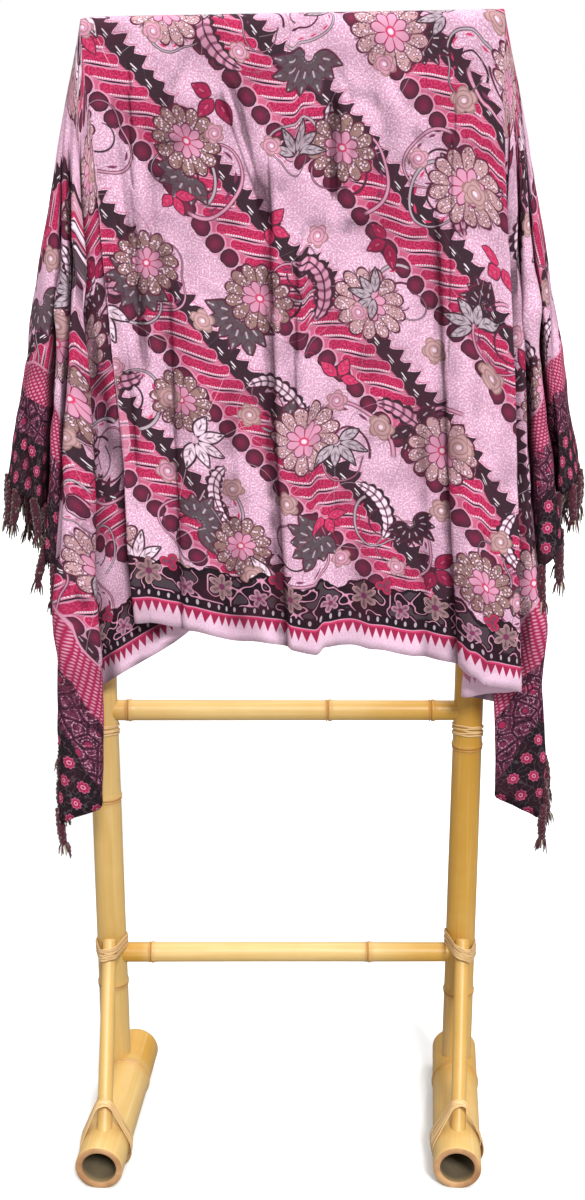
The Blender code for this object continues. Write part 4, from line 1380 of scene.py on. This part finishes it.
CULMS = (
    # name, radius at its start and end, node rings, (distance, how golden) from its start to its end
    ("top_bar", BAR_RADIUS, BAR_RADIUS, (), ((0.0, 0.5), (0.5, 0.7))),
    ("post_left", POST_RADIUS, POST_TOP_RADIUS, (0.136, 0.430, 0.79, 1.14),
     ((0.0, 0.25), (0.3, 0.35), (1.4, 0.5))),
    ("post_right", POST_RADIUS, POST_TOP_RADIUS, (0.122, 0.508, 0.86, 1.20),
     ((0.0, 0.55), (0.3, 1.0), (1.4, 1.05))),
    ("foot_left", FOOT_RADIUS, FOOT_RADIUS, (0.205,), ((0.0, 0.12), (0.205, 0.25), (0.23, 0.9))),
    ("foot_right", FOOT_RADIUS, FOOT_RADIUS, (0.198,), ((0.0, 0.25), (0.15, 0.4), (0.2, 0.8))),
    ("brace_left", BRACE_RADIUS, BRACE_RADIUS * 0.94, (), ((0.0, 0.2), (0.2, 0.3))),
    ("brace_right", BRACE_RADIUS, BRACE_RADIUS * 0.94, (), ((0.0, 0.45), (0.2, 0.65))),
    ("upper_rail", RAIL_RADIUS, RAIL_RADIUS * 0.97, (0.024, 0.300, 0.4420),
     ((0.0, 0.9), (0.03, 0.35), (0.3, 0.4), (0.45, 0.9))),
    ("lower_rail", RAIL_RADIUS, RAIL_RADIUS * 0.97, (0.046, 0.360),
     ((0.03, 1.0), (0.05, 0.15), (0.34, 0.3), (0.45, 0.9))),
)


def foot_point(side, y):
    """The point in the middle of a foot at one depth."""
    front, back = FOOT_FRONT[side], FOOT_BACK[side]
    share = (y - front[1]) / (back[1] - front[1])
    return Vector((front[0] + (back[0] - front[0]) * share, y, FOOT_HEIGHT))


def brace_ends(side):
    """A brace's low end, in its foot, and its high end, in its post."""
    low = Vector((*BRACE_FOOT[side], BRACE_LOW_HEIGHT))
    return low, Vector((POST_X[side], -POST_RADIUS - BRACE_RADIUS * 0.45, BRACE_TOP_HEIGHT))


def culm_route(name):
    """The points along the middle of a culm, from its start to its end."""
    kind, _, side = name.partition("_")
    if kind == "top":
        return [Vector((OUTWARDS[side] * BAR_END, 0.0, BAR_HEIGHT[side])) for side in ("left", "right")]
    if kind == "post":
        x = POST_X[side]
        top = Vector((POST_TOP_X[side], 0.0, BAR_HEIGHT[side] - POST_INSET))
        return [Vector((x, 0.0, FOOT_HEIGHT + POST_INSET)), Vector((x, 0.0, POST_LEAN_FROM)), top]
    if kind == "foot":
        return [foot_point(side, FOOT_FRONT[side][1]), foot_point(side, FOOT_BACK[side][1])]
    if kind == "brace":
        return list(brace_ends(side))
    starts = [POST_X[end] - OUTWARDS[end] * RAIL_INSET for end in ("left", "right")]
    return [Vector((x, 0.0, RAIL_HEIGHT[kind])) for x in starts]


def bell(away, width):
    """1 at nothing away, falling smoothly to 0 on both sides."""
    return exp(-((away / width) ** 2))


def ring_rise(away):
    """How far a node stands out of its culm, at a distance along the culm from it."""
    return sum(rise * bell(away - middle, width) for rise, middle, width in RING_SHAPE)


def culm_profile(length, start_radius, end_radius, rings, bore):
    """A culm's outline from the middle of its first end to the middle of its last, as (along, radius, node
    ring, cut end, inside the bore)."""
    places = {length * k / CULM_STEPS for k in range(CULM_STEPS + 1)} | {CUT_EDGE, length - CUT_EDGE}
    for ring in rings:
        places = {place for place in places if abs(place - ring) > RING_STEPS[-1] / 1000}
        places |= {ring + step / 1000 for step in RING_STEPS}
    profile = []
    if bore:
        depth, hole = bore
        profile.append((depth, 0.0, 0, 0, 1))
        profile += [(place, hole, 0, 0, 1) for place in (depth, depth / 2, 0.012)]
        profile += [(0.003, hole, 0, 0.3, 0.6), (CUT_EDGE, hole, 0, 1, 0), (0.0, hole + CUT_EDGE, 0, 1, 0)]
    else:
        profile += [(0.0, 0.0, 0, 1, 0), (0.0, start_radius / 2, 0, 1, 0)]
    profile.append((0.0, start_radius - CUT_EDGE, 0, 1, 0))
    for place in sorted(place for place in places if CUT_EDGE <= place <= length - CUT_EDGE):
        radius = start_radius + (end_radius - start_radius) * place / length
        mark = 0.0
        for ring in rings:
            radius += ring_rise(place - ring)
            marks = [strength * bell(place - ring - middle, width) for strength, middle, width in RING_MARKS]
            mark = max(mark, *marks)
        profile.append((place, radius, mark, 0, 0))
    profile += [(length, radius, 0, 1, 0) for radius in (end_radius - CUT_EDGE, end_radius / 2, 0.0)]
    return profile


def culm_mesh(name, number, sides, start_radius, end_radius, rings, golden):
    """A bamboo stem, a little uneven, with the marks that its material is coloured by."""
    route = culm_route(name)
    runs = [(b - a).length for a, b in zip(route, route[1:])]
    length = sum(runs)
    ahead = (route[-1] - route[0]).normalized()
    across = Vector((1, 0, 0)) if abs(ahead.z) > 0.9 else ahead.cross(Vector((0, 0, 1))).normalized()
    other = ahead.cross(across).normalized()
    bore = FOOT_BORE if name.startswith("foot") else None
    shape = bmesh.new()
    grain = shape.verts.layers.float_vector.new("grain")
    mark = shape.verts.layers.float_vector.new("mark")
    gold = shape.verts.layers.float.new("golden")
    loops = []
    for along, radius, ring, cut, inside in culm_profile(length, start_radius, end_radius, rings, bore):
        left, run = along, 0
        while run < len(runs) - 1 and left > runs[run]:
            left -= runs[run]
            run += 1
        middle = route[run].lerp(route[run + 1], left / runs[run])
        count = sides if radius else 1
        loop = []
        for k in range(count):
            turn = 2 * pi * k / count
            around = across * cos(turn) + other * sin(turn)
            place = around * 0.9 + Vector((number * 9.1, along * 5.0, 0.0))
            point = middle + around * (radius * (1.0 + CULM_UNEVEN * noise.noise(place)))
            point.z = max(point.z, 0.0)
            vertex = shape.verts.new(point + BAR_MIDDLE)
            vertex[grain] = (radius * cos(turn), radius * sin(turn), along + number * 2.0)
            vertex[mark] = (ring, cut, inside)
            vertex[gold] = read_off(golden, along)
            loop.append(vertex)
        loops.append(loop)
    for near, far in zip(loops, loops[1:]):
        for k in range(sides):
            after = (k + 1) % sides
            corners = [loop[j % len(loop)] for loop, j in ((near, k), (near, after), (far, after), (far, k))]
            shape.faces.new(list(dict.fromkeys(corners)))
    bmesh.ops.recalc_face_normals(shape, faces=shape.faces)
    return smooth_mesh(name, shape, CULM_SHARP_FROM)


def build_bamboo_skin():
    """Peeled bamboo: long fibres, darker node rings, brown cut ends, and the bore's inside darkened with
    painted shade.
    """
    takes = [(title, "vector") for title in ("Grain place", "Mark")] + [("Golden", "value")]
    takes += [(title, "colour") for title in ("Pale", "Gold", "Ring")]
    gives = (("Color", "colour"), ("Roughness", "value"), ("Height", "value"))
    tree, given, end = start_group("bamboo skin", takes, gives)
    place = given["Grain place"]
    broad = noise_over(tree, place, 22.0, 2.0, (1.0, 1.0, 0.12))
    fibres = noise_over(tree, place, 420.0, 2.0, (1.0, 1.0, 0.02))
    blotches = noise_over(tree, place, 30.0, 3.0)
    ring, cut, inside = split(tree, given["Mark"])
    share = given["Golden"] + (broad - 0.5) * 0.9 + (blotches - 0.5) * 0.35
    paint = Paint(tree, given["Pale"])
    paint.over(share.math("ADD", 0.0, clamp=True), given["Gold"])
    paint.over(fibres.scaled(2.4, -1.0) * 0.22, given["Ring"])
    pale_streaks = noise_over(tree, place, 160.0, 1.0, (1.0, 1.0, 0.03)).scaled(4.0, -2.3)
    paint.over(pale_streaks * 0.25, from_srgb(246, 226, 178))
    olive = noise_over(tree, place, 16.0, 2.0, (1.0, 1.0, 0.10)) - 0.54
    paint.over(olive.math("MULTIPLY", 5.0, clamp=True) * 0.30, from_srgb(160, 140, 66))
    stains = 0.07 - cells_over(tree, place, 34.0)
    paint.over(stains.math("MULTIPLY", 9.0, clamp=True) * 0.5, from_srgb(150, 104, 58))
    paint.over(ring.math("MULTIPLY", 0.85, clamp=True), given["Ring"])
    mottling = (blotches - 0.5).scaled(3.0, 0.5)
    paint.over(cut, mix(tree, mottling, from_srgb(206, 160, 112), from_srgb(160, 112, 74)))
    # Painted shade: the bore's inside colour is made dark, most fully deep inside it.
    paint.over(inside, mix(tree, blotches, from_srgb(78, 66, 50), from_srgb(132, 118, 90)))
    join(tree, paint.colour, end.inputs["Color"])
    join(tree, (cut + inside).scaled(0.35, 0.40) + fibres * 0.12, end.inputs["Roughness"])
    join(tree, fibres, end.inputs["Height"])


def bamboo(name, sizes):
    """Peeled bamboo, coloured by the marks on each culm."""
    made, tree, shader = start_material(name)
    values = {
        "Grain place": read_mark(tree, "grain"),
        "Mark": read_mark(tree, "mark"),
        "Golden": read_mark(tree, "golden", "Fac"),
        "Pale": (*sizes.pale_colour, 1.0),
        "Gold": (*sizes.golden_colour, 1.0),
        "Ring": (*sizes.ring_colour, 1.0),
    }
    skin = use_group(tree, "bamboo skin", values)
    join(tree, skin.outputs["Roughness"], shader.inputs["Roughness"])
    settings = {"Coat Weight": 0.10, "Coat Roughness": 0.35}
    finish_material(tree, shader, skin.outputs["Color"], skin.outputs["Height"], 0.3, 0.0004, settings)
    return made


# ---- the cane lashings ----

LASHING_LOOSE = 0.0004  # between the cane and the bamboo
OUTLINE_CORNERS = 40
LASHING_DIP = 0.20  # how much an upright lashing falls towards the back
LAYER_PITCH = 0.9  # from one layer of cane to the next, as a share of its thickness
STRIP_SECTION = ((0.0, -0.5), (0.0, 0.5), (0.7, 0.46), (1.0, 0.30), (1.0, -0.30), (0.7, -0.46))  # out, up
STRIP_WAVE = 0.0004
STRIP_STEP = 0.004  # about the length of cane from one corner of a winding to the next
FLOOR_GAP = 0.0006  # a winding under a foot stays this far off the floor
POST_GAP = 0.0003  # more room round a post, and round a foot, for their uneven skin
FOOT_GAP = 0.0006
BRACE_DISC = BRACE_RADIUS * 1.15  # the brace is slanted, so a level cut through it is wider than it is
TURN_PITCH = 1.04  # from one turn to the next, as a share of the strip's width
TURN_WANDER = 0.11
CANE_SHARP_FROM = 60.0  # degrees
BAND_WIDTH = 0.016
BRACE_BAND = RAIL_HEIGHT["lower"] + RAIL_RADIUS + 0.0015  # the braces are bound on just above the lower rail
BRACE_BAND_SLOPES = {"left": (0.10, 0.16), "right": (-0.34, -0.52)}
RAIL_BAND = RAIL_HEIGHT["upper"] - RAIL_RADIUS - 0.0175  # and the upper rail just below it
RAIL_BAND_SLOPE = 0.06
FOOT_BAND = 0.004  # behind the foot of its brace
FOOT_BAND_SLOPES = (0.20, -0.20)


def post_radius_at(side, height):
    """A post tapers evenly from its foot to the bar."""
    return POST_RADIUS + (POST_TOP_RADIUS - POST_RADIUS) * height / BAR_HEIGHT[side]


def belt_outline(discs, grow):
    """The outline of a strap pulled tight round some discs, each (along, across, radius)."""
    points = []
    for k in range(OUTLINE_CORNERS):
        turn = 2 * pi * (k + 0.5) / OUTLINE_CORNERS
        along, across, radius = max(discs, key=lambda d: d[0] * cos(turn) + d[1] * sin(turn) + d[2])
        reach = (radius + grow) / cos(pi / OUTLINE_CORNERS)
        points.append((along + reach * cos(turn), across + reach * sin(turn)))
    return points


def add_winding(shape, discs, level, slope, layer, upright, sizes, grain):
    """One turn of flat cane round a belt. It rises along the belt by slope."""
    width, thickness = sizes.strip_width, sizes.strip_thickness
    base = LASHING_LOOSE + layer * thickness * LAYER_PITCH
    outline = belt_outline(discs, 0.0)
    middle = sum(point[0] for point in outline) / OUTLINE_CORNERS
    front = min(point[1] for point in outline)
    strips = []
    for out, up in STRIP_SECTION:
        line = []
        for k, (x, across) in enumerate(belt_outline(discs, base + out * thickness)):
            height = level + slope * (x - middle) + up * width + STRIP_WAVE * sin(k * 0.8 + level * 900.0)
            if upright:
                at = Vector((x, across, height - LASHING_DIP * (across - front)))
            else:
                at = Vector((x, height, max(across, FLOOR_GAP)))
            vertex = shape.verts.new(at + BAR_MIDDLE)
            vertex[grain] = (up * width, out * thickness, k * STRIP_STEP + level * 30)
            line.append(vertex)
        strips.append(line)
    for line, following in zip(strips, strips[1:] + strips[:1]):
        for k in range(OUTLINE_CORNERS):
            after = (k + 1) % OUTLINE_CORNERS
            shape.faces.new((line[k], line[after], following[after], following[k]))


def lashing_plans():
    """Every lashing as name: (discs, lowest level, highest level, upright, slope of each layer)."""
    plans = {}
    for side in ("left", "right"):
        x = POST_X[side]
        low, high = brace_ends(side)
        band = BRACE_BAND
        discs = [(x, 0.0, post_radius_at(side, band) + POST_GAP)]
        for height in (band, band + BAND_WIDTH):
            middle = low.lerp(high, (height - low.z) / (high.z - low.z))
            discs.append((middle.x, middle.y - BRACE_RADIUS * 0.4, BRACE_DISC))
        plans["brace_lashing_" + side] = (discs, band + 0.003, band + 0.022, True, BRACE_BAND_SLOPES[side])
        band = RAIL_BAND
        discs = [(x, 0.0, post_radius_at(side, band) + POST_GAP)]
        slopes = (-OUTWARDS[side] * RAIL_BAND_SLOPE,)
        plans["rail_lashing_" + side] = (discs, band, band + BAND_WIDTH, True, slopes)
        band = BRACE_FOOT[side][1] + FOOT_BAND
        discs = []
        for depth in (band, band + BAND_WIDTH):
            foot = foot_point(side, depth)
            discs.append((foot.x, foot.z, FOOT_RADIUS + FOOT_GAP))
            middle = low.lerp(high, (depth - low.y) / (high.y - low.y))
            discs.append((middle.x, middle.z + BRACE_RADIUS * 0.5, BRACE_DISC))
        plans["foot_lashing_" + side] = (discs, band - 0.002, band + 0.014, False, FOOT_BAND_SLOPES)
    return plans


def lashing_mesh(name, plan, sizes):
    """One lashing: its turns side by side, in a layer for each slope."""
    discs, low, high, upright, slopes = plan
    shape = bmesh.new()
    grain = shape.verts.layers.float_vector.new("grain")
    turns = int((high - low) / (sizes.strip_width * TURN_PITCH))
    for layer, slope in enumerate(slopes):
        for k in range(turns):
            level = low + (high - low) * (k + 0.5) / turns
            tilt = slope + TURN_WANDER * sin(k * 2.4 + layer)
            add_winding(shape, discs, level, tilt, layer + 0.25 * (k % 2), upright, sizes, grain)
    bmesh.ops.recalc_face_normals(shape, faces=shape.faces)
    return smooth_mesh(name, shape, CANE_SHARP_FROM)


def cane(name, sizes):
    """Split cane with long streaks, paler and darker in patches."""
    made, tree, shader = start_material(name)
    place = read_mark(tree, "grain")
    streaks = noise_over(tree, place, 500.0, 2.0, (1.0, 1.0, 0.04))
    patches = noise_over(tree, place, 40.0, 2.0, (1.0, 1.0, 0.5))
    paint = Paint(tree, (*sizes.cane_colour, 1.0))
    paint.over(patches.scaled(2.0, -0.5), from_srgb(206, 160, 104))
    paint.over(streaks.scaled(3.0, -1.5) * 0.4, from_srgb(168, 118, 70))
    finish_material(tree, shader, paint.colour, streaks, 0.5, 0.0004, {"Roughness": 0.55})
    return made


# ---- the stage ----

SOFT_LIGHTS = (
    # name, height, round from the front, strength, spread
    ("key light", 43.0, 15.0, 2.95, 14.0),
    ("fill light", 26.0, -30.0, 0.35, 50.0),
    ("back light", 72.0, 165.0, 2.7, 80.0),
)
FLOOR_BOUNCE = 0.35  # the share of its colour that the floor throws back up, so that folds keep their shade
FLOOR_SIZE = 30.0
FLOOR_DROP = 0.0005
SENSOR_WIDTH = 36.0


def set_world(strength):
    """Soft light from all round. The room itself looks white, however bright it is."""
    world = bpy.data.worlds.new("white room")
    bpy.context.scene.world = world
    world.use_nodes = True
    tree = world.node_tree
    back = tree.nodes["Background"]
    back.inputs["Color"].default_value = (1.0, 1.0, 1.0, 1.0)
    seen = tree.nodes.new("ShaderNodeLightPath")
    level = Field(tree, seen.outputs["Is Camera Ray"]) * (1.0 - strength) + strength
    join(tree, level, back.inputs["Strength"])


def soft_light(name, height, round_from_front, strength, spread):
    """A far, wide light: its height above level, how far round it is and its spread are in degrees."""
    lamp = bpy.data.lights.new(name, "SUN")
    lamp.energy = strength
    lamp.angle = radians(spread)
    made = bpy.data.objects.new(name, lamp)
    bpy.context.scene.collection.objects.link(made)
    made.rotation_euler = Euler((radians(90 - height), 0.0, radians(round_from_front)))


def make_floor(colour):
    """A wide floor that looks pale, and throws back less light than it looks as if it would."""
    shape = bmesh.new()
    bmesh.ops.create_grid(shape, x_segments=1, y_segments=1, size=FLOOR_SIZE)
    mesh = bpy.data.meshes.new("floor")
    shape.to_mesh(mesh)
    shape.free()
    made, tree, shader = start_material("pale floor")
    seen = tree.nodes.new("ShaderNodeLightPath")
    thrown_back = (*(channel * FLOOR_BOUNCE for channel in colour), 1.0)
    shown = mix(tree, seen.outputs["Is Camera Ray"], thrown_back, (*colour, 1.0))
    join(tree, shown, shader.inputs["Base Color"])
    shader.inputs["Roughness"].default_value = 0.9
    shader.inputs["Specular IOR Level"].default_value = 0.0
    mesh.materials.append(made)
    floor = bpy.data.objects.new("floor", mesh)
    floor.location.z = -FLOOR_DROP
    bpy.context.scene.collection.objects.link(floor)


# ---- the add-on ----


def place_piece(name, mesh, materials):
    """Adds a finished piece to the scene, on the frame's root."""
    made = bpy.data.objects.new(name, mesh)
    bpy.context.scene.collection.objects.link(made)
    for material in materials:
        mesh.materials.append(material)
    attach(made, "root")
    return made


class BatikClothSizes(bpy.types.PropertyGroup):
    rows: IntProperty(
        name="Rows", description="Steps of the cloth from the bar to its hem", default=72, min=20
    )
    panel_columns: IntProperty(
        name="Panel columns", description="Steps across the flat front panel", default=150, min=10
    )
    columns_per_fold: IntProperty(
        name="Columns a fold", description="Steps from one fold to the next", default=7, min=2
    )
    columns_per_back_fold: IntProperty(
        name="Columns a back fold",
        description="Steps from one fold to the next behind the ridge",
        default=3,
        min=2,
    )
    thickness: FloatProperty(
        name="Thickness",
        description="Of the cotton",
        default=0.0007,
        min=0.0002,
        max=0.004,
        unit="LENGTH",
    )
    fade: FloatProperty(
        name="Wrong side",
        description="How far the print has paled on the wrong side",
        default=0.35,
        min=0,
        max=1,
    )


class BatikFringeSizes(bpy.types.PropertyGroup):
    tassels: IntProperty(name="Tassels", description="Along each short edge", default=27, min=2)
    length: FloatProperty(
        name="Length", description="Of a tassel", default=0.064, min=0.01, unit="LENGTH"
    )
    width: FloatProperty(
        name="Width", description="Of a tassel's brush", default=0.0150, min=0.002, unit="LENGTH"
    )
    dark_colour: FloatVectorProperty(
        name="Dark thread",
        description="Colour of the darkest threads",
        subtype="COLOR",
        default=from_srgb(30, 22, 28)[:3],
    )
    maroon_colour: FloatVectorProperty(
        name="Maroon thread",
        description="Colour of the red threads",
        subtype="COLOR",
        default=from_srgb(96, 26, 48)[:3],
    )
    pale_colour: FloatVectorProperty(
        name="Pale thread",
        description="Colour of the few pale threads",
        subtype="COLOR",
        default=from_srgb(190, 186, 160)[:3],
    )


class BatikStandSizes(bpy.types.PropertyGroup):
    sides: IntProperty(name="Sides", description="Of each culm", default=48, min=12)
    pale_colour: FloatVectorProperty(
        name="Pale bamboo",
        description="Colour of the paler culms",
        subtype="COLOR",
        default=from_srgb(223, 189, 122)[:3],
    )
    golden_colour: FloatVectorProperty(
        name="Golden bamboo",
        description="Colour of the golden culms",
        subtype="COLOR",
        default=from_srgb(196, 147, 52)[:3],
    )
    ring_colour: FloatVectorProperty(
        name="Node rings",
        description="Colour of the culms' rings",
        subtype="COLOR",
        default=from_srgb(176, 118, 58)[:3],
    )


class BatikLashingSizes(bpy.types.PropertyGroup):
    strip_width: FloatProperty(
        name="Strip width", description="Of the split cane", default=0.0026, min=0.001, unit="LENGTH"
    )
    strip_thickness: FloatProperty(
        name="Strip thickness",
        description="Of the split cane",
        default=0.0010,
        min=0.0003,
        unit="LENGTH",
    )
    cane_colour: FloatVectorProperty(
        name="Cane",
        description="Colour of the split cane",
        subtype="COLOR",
        default=from_srgb(236, 204, 150)[:3],
    )


class BatikStageSizes(bpy.types.PropertyGroup):
    camera_height: FloatProperty(
        name="Camera height", description="Above the floor", default=1.405, unit="LENGTH"
    )
    camera_distance: FloatProperty(
        name="Camera distance", description="In front of the bar", default=2.05, unit="LENGTH"
    )
    camera_tilt: FloatProperty(
        name="Camera tilt", description="Below level", default=radians(17.4), unit="ROTATION"
    )
    lens: FloatProperty(name="Lens", description="Focal length in mm", default=47.67, min=10)
    room_light: FloatProperty(
        name="Room light", description="Strength of the light from all round", default=0.22, min=0
    )
    floor_colour: FloatVectorProperty(
        name="Floor", description="Colour of the floor", subtype="COLOR", default=(0.93, 0.93, 0.93)
    )


class BATIK_OT_drape_sarong(bpy.types.Operator):
    """Drapes the printed cloth over the top bar, with its folds and creases"""

    bl_idname = "batik.drape_sarong"
    bl_label = "Drape the sarong"

    def execute(self, context):
        sizes = context.scene.batik_cloth
        build_placing()
        for kind, draw in MOTIFS.items():
            build_motif(kind, draw)
        materials = []
        for zone in PRINT_ZONES:
            build_print(zone)
            materials.append(cotton("printed cotton " + zone, zone, 0.0))
            materials.append(cotton("printed cotton wrong side " + zone, zone, sizes.fade))
        mesh = cloth_mesh("sarong_cloth", cloth_grids(sizes))
        cloth = place_piece("sarong_cloth", mesh, materials)
        shell = cloth.modifiers.new("thickness", "SOLIDIFY")
        shell.thickness = sizes.thickness
        shell.offset = 0.0
        shell.material_offset = 1
        falls = ("inner_pleats_", "front_fall_", "outer_fall_", "back_fall_")
        stood_for = [piece + side for side in ("left", "right") for piece in falls]
        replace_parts(cloth, "front_panel", "back_panel", *stood_for)
        return {"FINISHED"}


class BATIK_OT_twist_fringe(bpy.types.Operator):
    """Hangs twisted tassels from both short edges of the cloth"""

    bl_idname = "batik.twist_fringe"
    bl_label = "Twist the fringe"

    def execute(self, context):
        sizes = context.scene.batik_fringe
        cloth = bpy.data.objects["sarong_cloth"]
        mesh = fringe_mesh("twisted_fringe", cloth, sizes)
        fringe = place_piece("twisted_fringe", mesh, [twisted_thread("twisted thread", sizes)])
        rows = ("edge_fringe_", "corner_fringe_")
        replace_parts(fringe, *[row + side for row in rows for side in ("left", "right")])
        return {"FINISHED"}


class BATIK_OT_raise_stand(bpy.types.Operator):
    """Builds the bamboo posts, feet, braces and rails"""

    bl_idname = "batik.raise_stand"
    bl_label = "Raise the stand"

    def execute(self, context):
        sizes = context.scene.batik_stand
        build_bamboo_skin()
        skin = bamboo("peeled bamboo", sizes)
        for number, (name, start_radius, end_radius, rings, golden) in enumerate(CULMS):
            mesh = culm_mesh(name, number, sizes.sides, start_radius, end_radius, rings, golden)
            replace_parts(place_piece("bamboo_" + name, mesh, [skin]), name)
        return {"FINISHED"}


class BATIK_OT_bind_joints(bpy.types.Operator):
    """Winds split cane round the stand's joints"""

    bl_idname = "batik.bind_joints"
    bl_label = "Bind the joints"

    def execute(self, context):
        sizes = context.scene.batik_lashing
        strip = cane("split cane", sizes)
        for name, plan in lashing_plans().items():
            mesh = lashing_mesh("cane_" + name, plan, sizes)
            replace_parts(place_piece("cane_" + name, mesh, [strip]), name)
        return {"FINISHED"}


class BATIK_OT_set_stage(bpy.types.Operator):
    """Sets the floor, the soft lights and the camera"""

    bl_idname = "batik.set_stage"
    bl_label = "Set the stage"

    def execute(self, context):
        sizes = context.scene.batik_stage
        context.scene.view_settings.view_transform = "Standard"
        set_world(sizes.room_light)
        make_floor(sizes.floor_colour)
        for light in SOFT_LIGHTS:
            soft_light(*light)
        lens = bpy.data.cameras.new("camera")
        lens.lens = sizes.lens
        lens.sensor_width = SENSOR_WIDTH
        camera = bpy.data.objects.new("camera", lens)
        context.scene.collection.objects.link(camera)
        camera.location = (BAR_MIDDLE.x, BAR_MIDDLE.y - sizes.camera_distance, sizes.camera_height)
        camera.rotation_euler = Euler((pi / 2 - sizes.camera_tilt, 0.0, 0.0))
        context.scene.camera = camera
        return {"FINISHED"}


STEPS = (
    BATIK_OT_drape_sarong,
    BATIK_OT_twist_fringe,
    BATIK_OT_raise_stand,
    BATIK_OT_bind_joints,
    BATIK_OT_set_stage,
)


class BATIK_PT_sarong(bpy.types.Panel):
    """The steps that make the sarong on its stand, and their sizes"""

    bl_idname = "BATIK_PT_sarong"
    bl_label = "Batik sarong"
    bl_space_type = "VIEW_3D"
    bl_region_type = "UI"
    bl_category = "Batik"

    def draw(self, context):
        for step, name in zip(STEPS, SETTINGS):
            box = self.layout.box()
            box.operator(step.bl_idname)
            group = getattr(context.scene, name)
            for title in group.bl_rna.properties.keys():
                if title not in ("rna_type", "name"):
                    box.prop(group, title)


SETTINGS = {
    "batik_cloth": BatikClothSizes,
    "batik_fringe": BatikFringeSizes,
    "batik_stand": BatikStandSizes,
    "batik_lashing": BatikLashingSizes,
    "batik_stage": BatikStageSizes,
}
CLASSES = (*SETTINGS.values(), *STEPS, BATIK_PT_sarong)


def register():
    for made in CLASSES:
        bpy.utils.register_class(made)
    for name, group in SETTINGS.items():
        setattr(bpy.types.Scene, name, PointerProperty(type=group))


def unregister():
    for name in SETTINGS:
        delattr(bpy.types.Scene, name)
    for made in reversed(CLASSES):
        bpy.utils.unregister_class(made)


def main():
    register()
    bpy.ops.batik.drape_sarong()
    bpy.ops.batik.twist_fringe()
    bpy.ops.batik.raise_stand()
    bpy.ops.batik.bind_joints()
    bpy.ops.batik.set_stage()
    bpy.context.view_layer.update()


if __name__ == "__main__":
    main()
